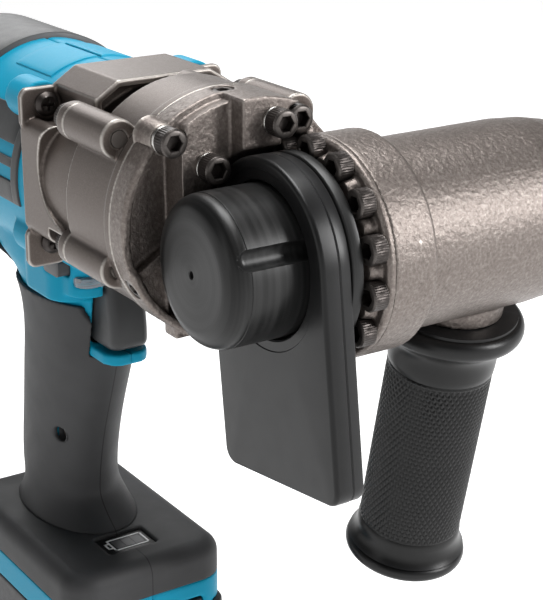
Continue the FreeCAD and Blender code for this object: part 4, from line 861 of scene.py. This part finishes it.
def wrap_block(name, start, end, low, high, lift, paint):
    """A thin plate laid round the motor housing. start and end are x in millimetres, low and high
    are angles in degrees up from the -Y side, and lift is how far it stands proud."""
    along = 8
    around = max(6, int((high - low) / 2))
    edge = 0.7
    levels = ((-1.2, 0.0), (lift - 0.45, 0.0), (lift - 0.1, 0.35 * edge), (lift, edge))
    verts = []
    for level, inset in levels:
        lean = math.degrees(inset / HOUSING_RADIUS)
        for column in range(along + 1):
            x = start + inset + (end - start - 2 * inset) * column / along
            for row in range(around + 1):
                angle = math.radians(low + lean + (high - low - 2 * lean) * row / around)
                reach = HOUSING_RADIUS + level
                verts.append(at(x, -reach * math.cos(angle), HOUSING_AXIS + reach * math.sin(angle)))
    size = (along + 1) * (around + 1)
    border = [column * (around + 1) for column in range(along + 1)]
    border += [along * (around + 1) + row for row in range(1, around + 1)]
    border += [column * (around + 1) + around for column in range(along - 1, -1, -1)]
    border += [row for row in range(around - 1, 0, -1)]
    faces = []
    for level in range(len(levels) - 1):
        for step, corner in enumerate(border):
            beside = border[(step + 1) % len(border)]
            faces.append((level * size + corner, level * size + beside,
                          (level + 1) * size + beside, (level + 1) * size + corner))
    top = (len(levels) - 1) * size
    for column in range(along):
        for row in range(around):
            corner = column * (around + 1) + row
            quad = (corner, corner + around + 1, corner + around + 2, corner + 1)
            faces.append(tuple(top + index for index in quad))
            faces.append(quad[::-1])
    item = new_object(name, verts, faces, paint)
    loose = bmesh.new()
    loose.from_mesh(item.data)
    bmesh.ops.delete(loose, geom=[vert for vert in loose.verts if not vert.link_faces],
                     context="VERTS")
    loose.to_mesh(item.data)
    loose.free()
    return item


def make_vent_panel(name, mirrored, paint):
    """Black panel with two long slots, on one side of the motor housing. Each bar is given as
    start, end, low and high, in the terms of wrap_block."""
    bars = ((-150, -147, -12, 38), (-120, -114.6, -12, 38), (-147.6, -119.4, -12, 0),
            (-147.6, -119.4, 7, 12), (-147.6, -119.4, 19, 38))
    parts = []
    for number, (start, end, low, high) in enumerate(bars):
        if mirrored:
            low, high = 180 - high, 180 - low
        parts.append(wrap_block("bar%d" % number, start, end, low, high, 0.9, paint))
    on_machine(join(parts, name))


def side_hole(x, y, z, radius, paint):
    """A cutter for a round hole that runs straight out of the machine's side from a point."""
    reach = 20 * MM
    return lathe("Cutter", [(0, 0), (0, radius), (reach, radius), (reach, 0)], at(x, y, z),
                 (0, math.copysign(1, y), 0), paint, 32)


def make_housing(paints):
    """Housing halves with their holes and slots, rubber covers, raised panels and rear cap."""
    fine = 0.8 * MM
    turquoise = paints["turquoise"]
    rubber = paints["rubber"]
    slot_width = 3.4
    for node, side in (("housing_right", -1), ("housing_left", 1)):
        holes = [side_hole(-135.5, side * 20, -26.6, 1.7 * MM, turquoise),
                 side_hole(*GRIP_SCREW, WELL_RADIUS + 3 * WELL_WALL, turquoise)]
        slots = [block((x, side * 34, -9), (x + slot_width, side * 48, 17), turquoise)
                 for x in (-215, -208, -201, -194)]
        shell = cast_copy(node, turquoise, fine, 3, cutters=holes + slots)
        stand_for(shell, "turquoise_shell", node)
    outer = WELL_RADIUS + WELL_WALL
    mouth = 5.1 * MM
    lining = [(-WELL_WALL, 0), (-WELL_WALL, outer), (mouth, outer), (mouth, WELL_RADIUS),
              (0, WELL_RADIUS), (0, 0)]
    cup = lathe("grip_screw_well", lining, at(*GRIP_SCREW), (0, -1, 0), rubber, 48)
    on_machine(cup)
    screw_well = side_hole(*GRIP_SCREW, WELL_RADIUS, rubber)
    grip = cast_copy("grip_cover", rubber, 0.7 * MM, 3, cutters=[screw_well])
    stand_for(grip, "soft_rubber", "grip_cover")
    base = cast_copy("base_cover", rubber, 0.7 * MM, 3)
    stand_for(base, "soft_rubber", "base_cover")
    for name, low, high in (("top_panel_right", 60, 89), ("top_panel_left", 91, 120)):
        plate = wrap_block(name, -157, -126, low, high, 0.6, turquoise)
        on_machine(plate)
    cap = wrap_block("top_cap", -226, -172, 42, 138, 2.2, paints["grey"])
    on_machine(cap)
    make_vent_panel("vent_panel_right", False, paints["grey"])
    make_vent_panel("vent_panel_left", True, paints["grey"])


def make_trigger(paints):
    """Trigger with a creased front face that curls forward at its toe."""
    rows = 24
    corner = 12
    back = -127.9
    toe = -69
    height = 27.2
    half_width = 8.3
    toe_share = 0.14
    corner_length = 4.4
    corner_width = 3.6
    verts = []
    for row in range(rows + 1):
        share = row / rows
        z = toe + height * share
        rise = min(share, toe_share) / toe_share
        close = 0.25 + 0.75 * math.sqrt(1 - (1 - rise) ** 2)
        front = -108.6 + 2.4 * math.cos((share - 0.22) * 2.6)
        half = half_width * (0.8 + 0.2 * close)
        nose = (front + 128) * (0.82 + 0.18 * close)
        outline = [(back, -half), (back + nose * 0.5, -half)]
        for step in range(corner + 1):
            angle = math.pi / 2 * step / corner
            outline.append((back + nose - corner_length * (1 - math.sin(angle)),
                            -half + corner_width * (1 - math.cos(angle))))
        outline += [(x, -y) for x, y in reversed(outline)]
        verts += [at(x, y, z) for x, y in outline]
    count = len(outline)
    faces = [tuple(range(count))[::-1], tuple(rows * count + index for index in range(count))]
    for row in range(rows):
        for step in range(count):
            beside = (step + 1) % count
            faces.append((row * count + step, row * count + beside,
                          (row + 1) * count + beside, (row + 1) * count + step))
    item = new_object("trigger_moulded", verts, faces, paints["grey"])
    stand_for(item, "black_plastic", "trigger")


def make_gauge(paints):
    """Charge gauge: a button with a generic battery outline and three cells printed on it."""
    button = bevelled_copy("gauge_button", paints["plastic"], 0.5 * MM, 3)
    stand_for(button, "black_plastic", "gauge_button")
    top = -160.4
    low, high = (-123.4, -7.0), (-113.6, 9.4)
    line = 0.8
    gap = 1.5
    cell_length = 4.2
    strokes = [((low[0], low[1]), (high[0], low[1] + line)), ((low[0], high[1] - line), high),
               (low, (low[0] + line, high[1])), ((high[0] - line, low[1]), high),
               ((-121, -9), (-116, -8.2)), ((-121, -9), (-120.2, -7)), ((-116.8, -9), (-116, -7))]
    lines = [block((x0, y0, top - 0.1), (x1, y1, top + 0.15), paints["icon"])
             for (x0, y0), (x1, y1) in strokes]
    cells = [block((low[0] + gap, y, top - 0.1), (high[0] - gap, y + cell_length, top + 0.1),
                   paints["cell_mark"]) for y in (-5.4, -0.9, 3.6)]
    for name, parts in (("gauge_outline", lines), ("gauge_cells", cells)):
        mark = join(parts, name)
        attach(mark, BODY_OF["gauge_button"])


def make_small_parts(paints):
    """The grip's screw, pieces that only need rounded edges, and the battery's grooved case."""
    length = 3.4 * MM
    radius = 2.75 * MM
    screw = cap_head("grip_screw", at(*GRIP_SCREW), (0, -1, 0), length, radius, paints["screw"])
    on_machine(screw)
    edged = {"rear_cover": ("grey", 0.8), "direction_button": ("grey", 0.7),
             "battery_latch": ("grey", 0.8), "shield_screws": ("screw", 0.2),
             "die_head": ("gear", 0.3), "cam_ring": ("gear", 0.3), "pipe_guide": ("gear", 0.3),
             "handle_stud": ("bright", 0.5), "lamp_lens": ("lens", 0.4)}
    for node, (paint, width) in edged.items():
        stand_for(bevelled_copy(node, paints[paint], width * MM), SLOT_OF[node], node)
    half_width = 37
    depth = 1.1
    height = 2.4
    grooves = [block((-190, side * half_width - depth, z),
                     (-115, side * half_width + depth, z + height), paints["battery"])
               for side in (-1, 1) for z in (-222, -215, -208)]
    fine = 0.9 * MM
    case = cast_copy("battery_case", paints["battery"], fine, 3, cutters=grooves)
    stand_for(case, "battery_plastic", "battery_case")


def paint_cad(paints):
    """Gives every CAD node that still shows its finish."""
    for name, item in NODES.items():
        item.data.materials.clear()
        item.data.materials.append(paints[SLOT_PAINT[SLOT_OF[name]]].material)
        shade(item, 30)


set_view()
set_stage()
PAINTS = make_paints()
paint_cad(PAINTS)
make_knob(PAINTS)
make_shield(PAINTS)
make_handle(PAINTS)
make_castings(PAINTS)
make_screws(PAINTS)
make_housing(PAINTS)
make_trigger(PAINTS)
make_gauge(PAINTS)
make_small_parts(PAINTS)
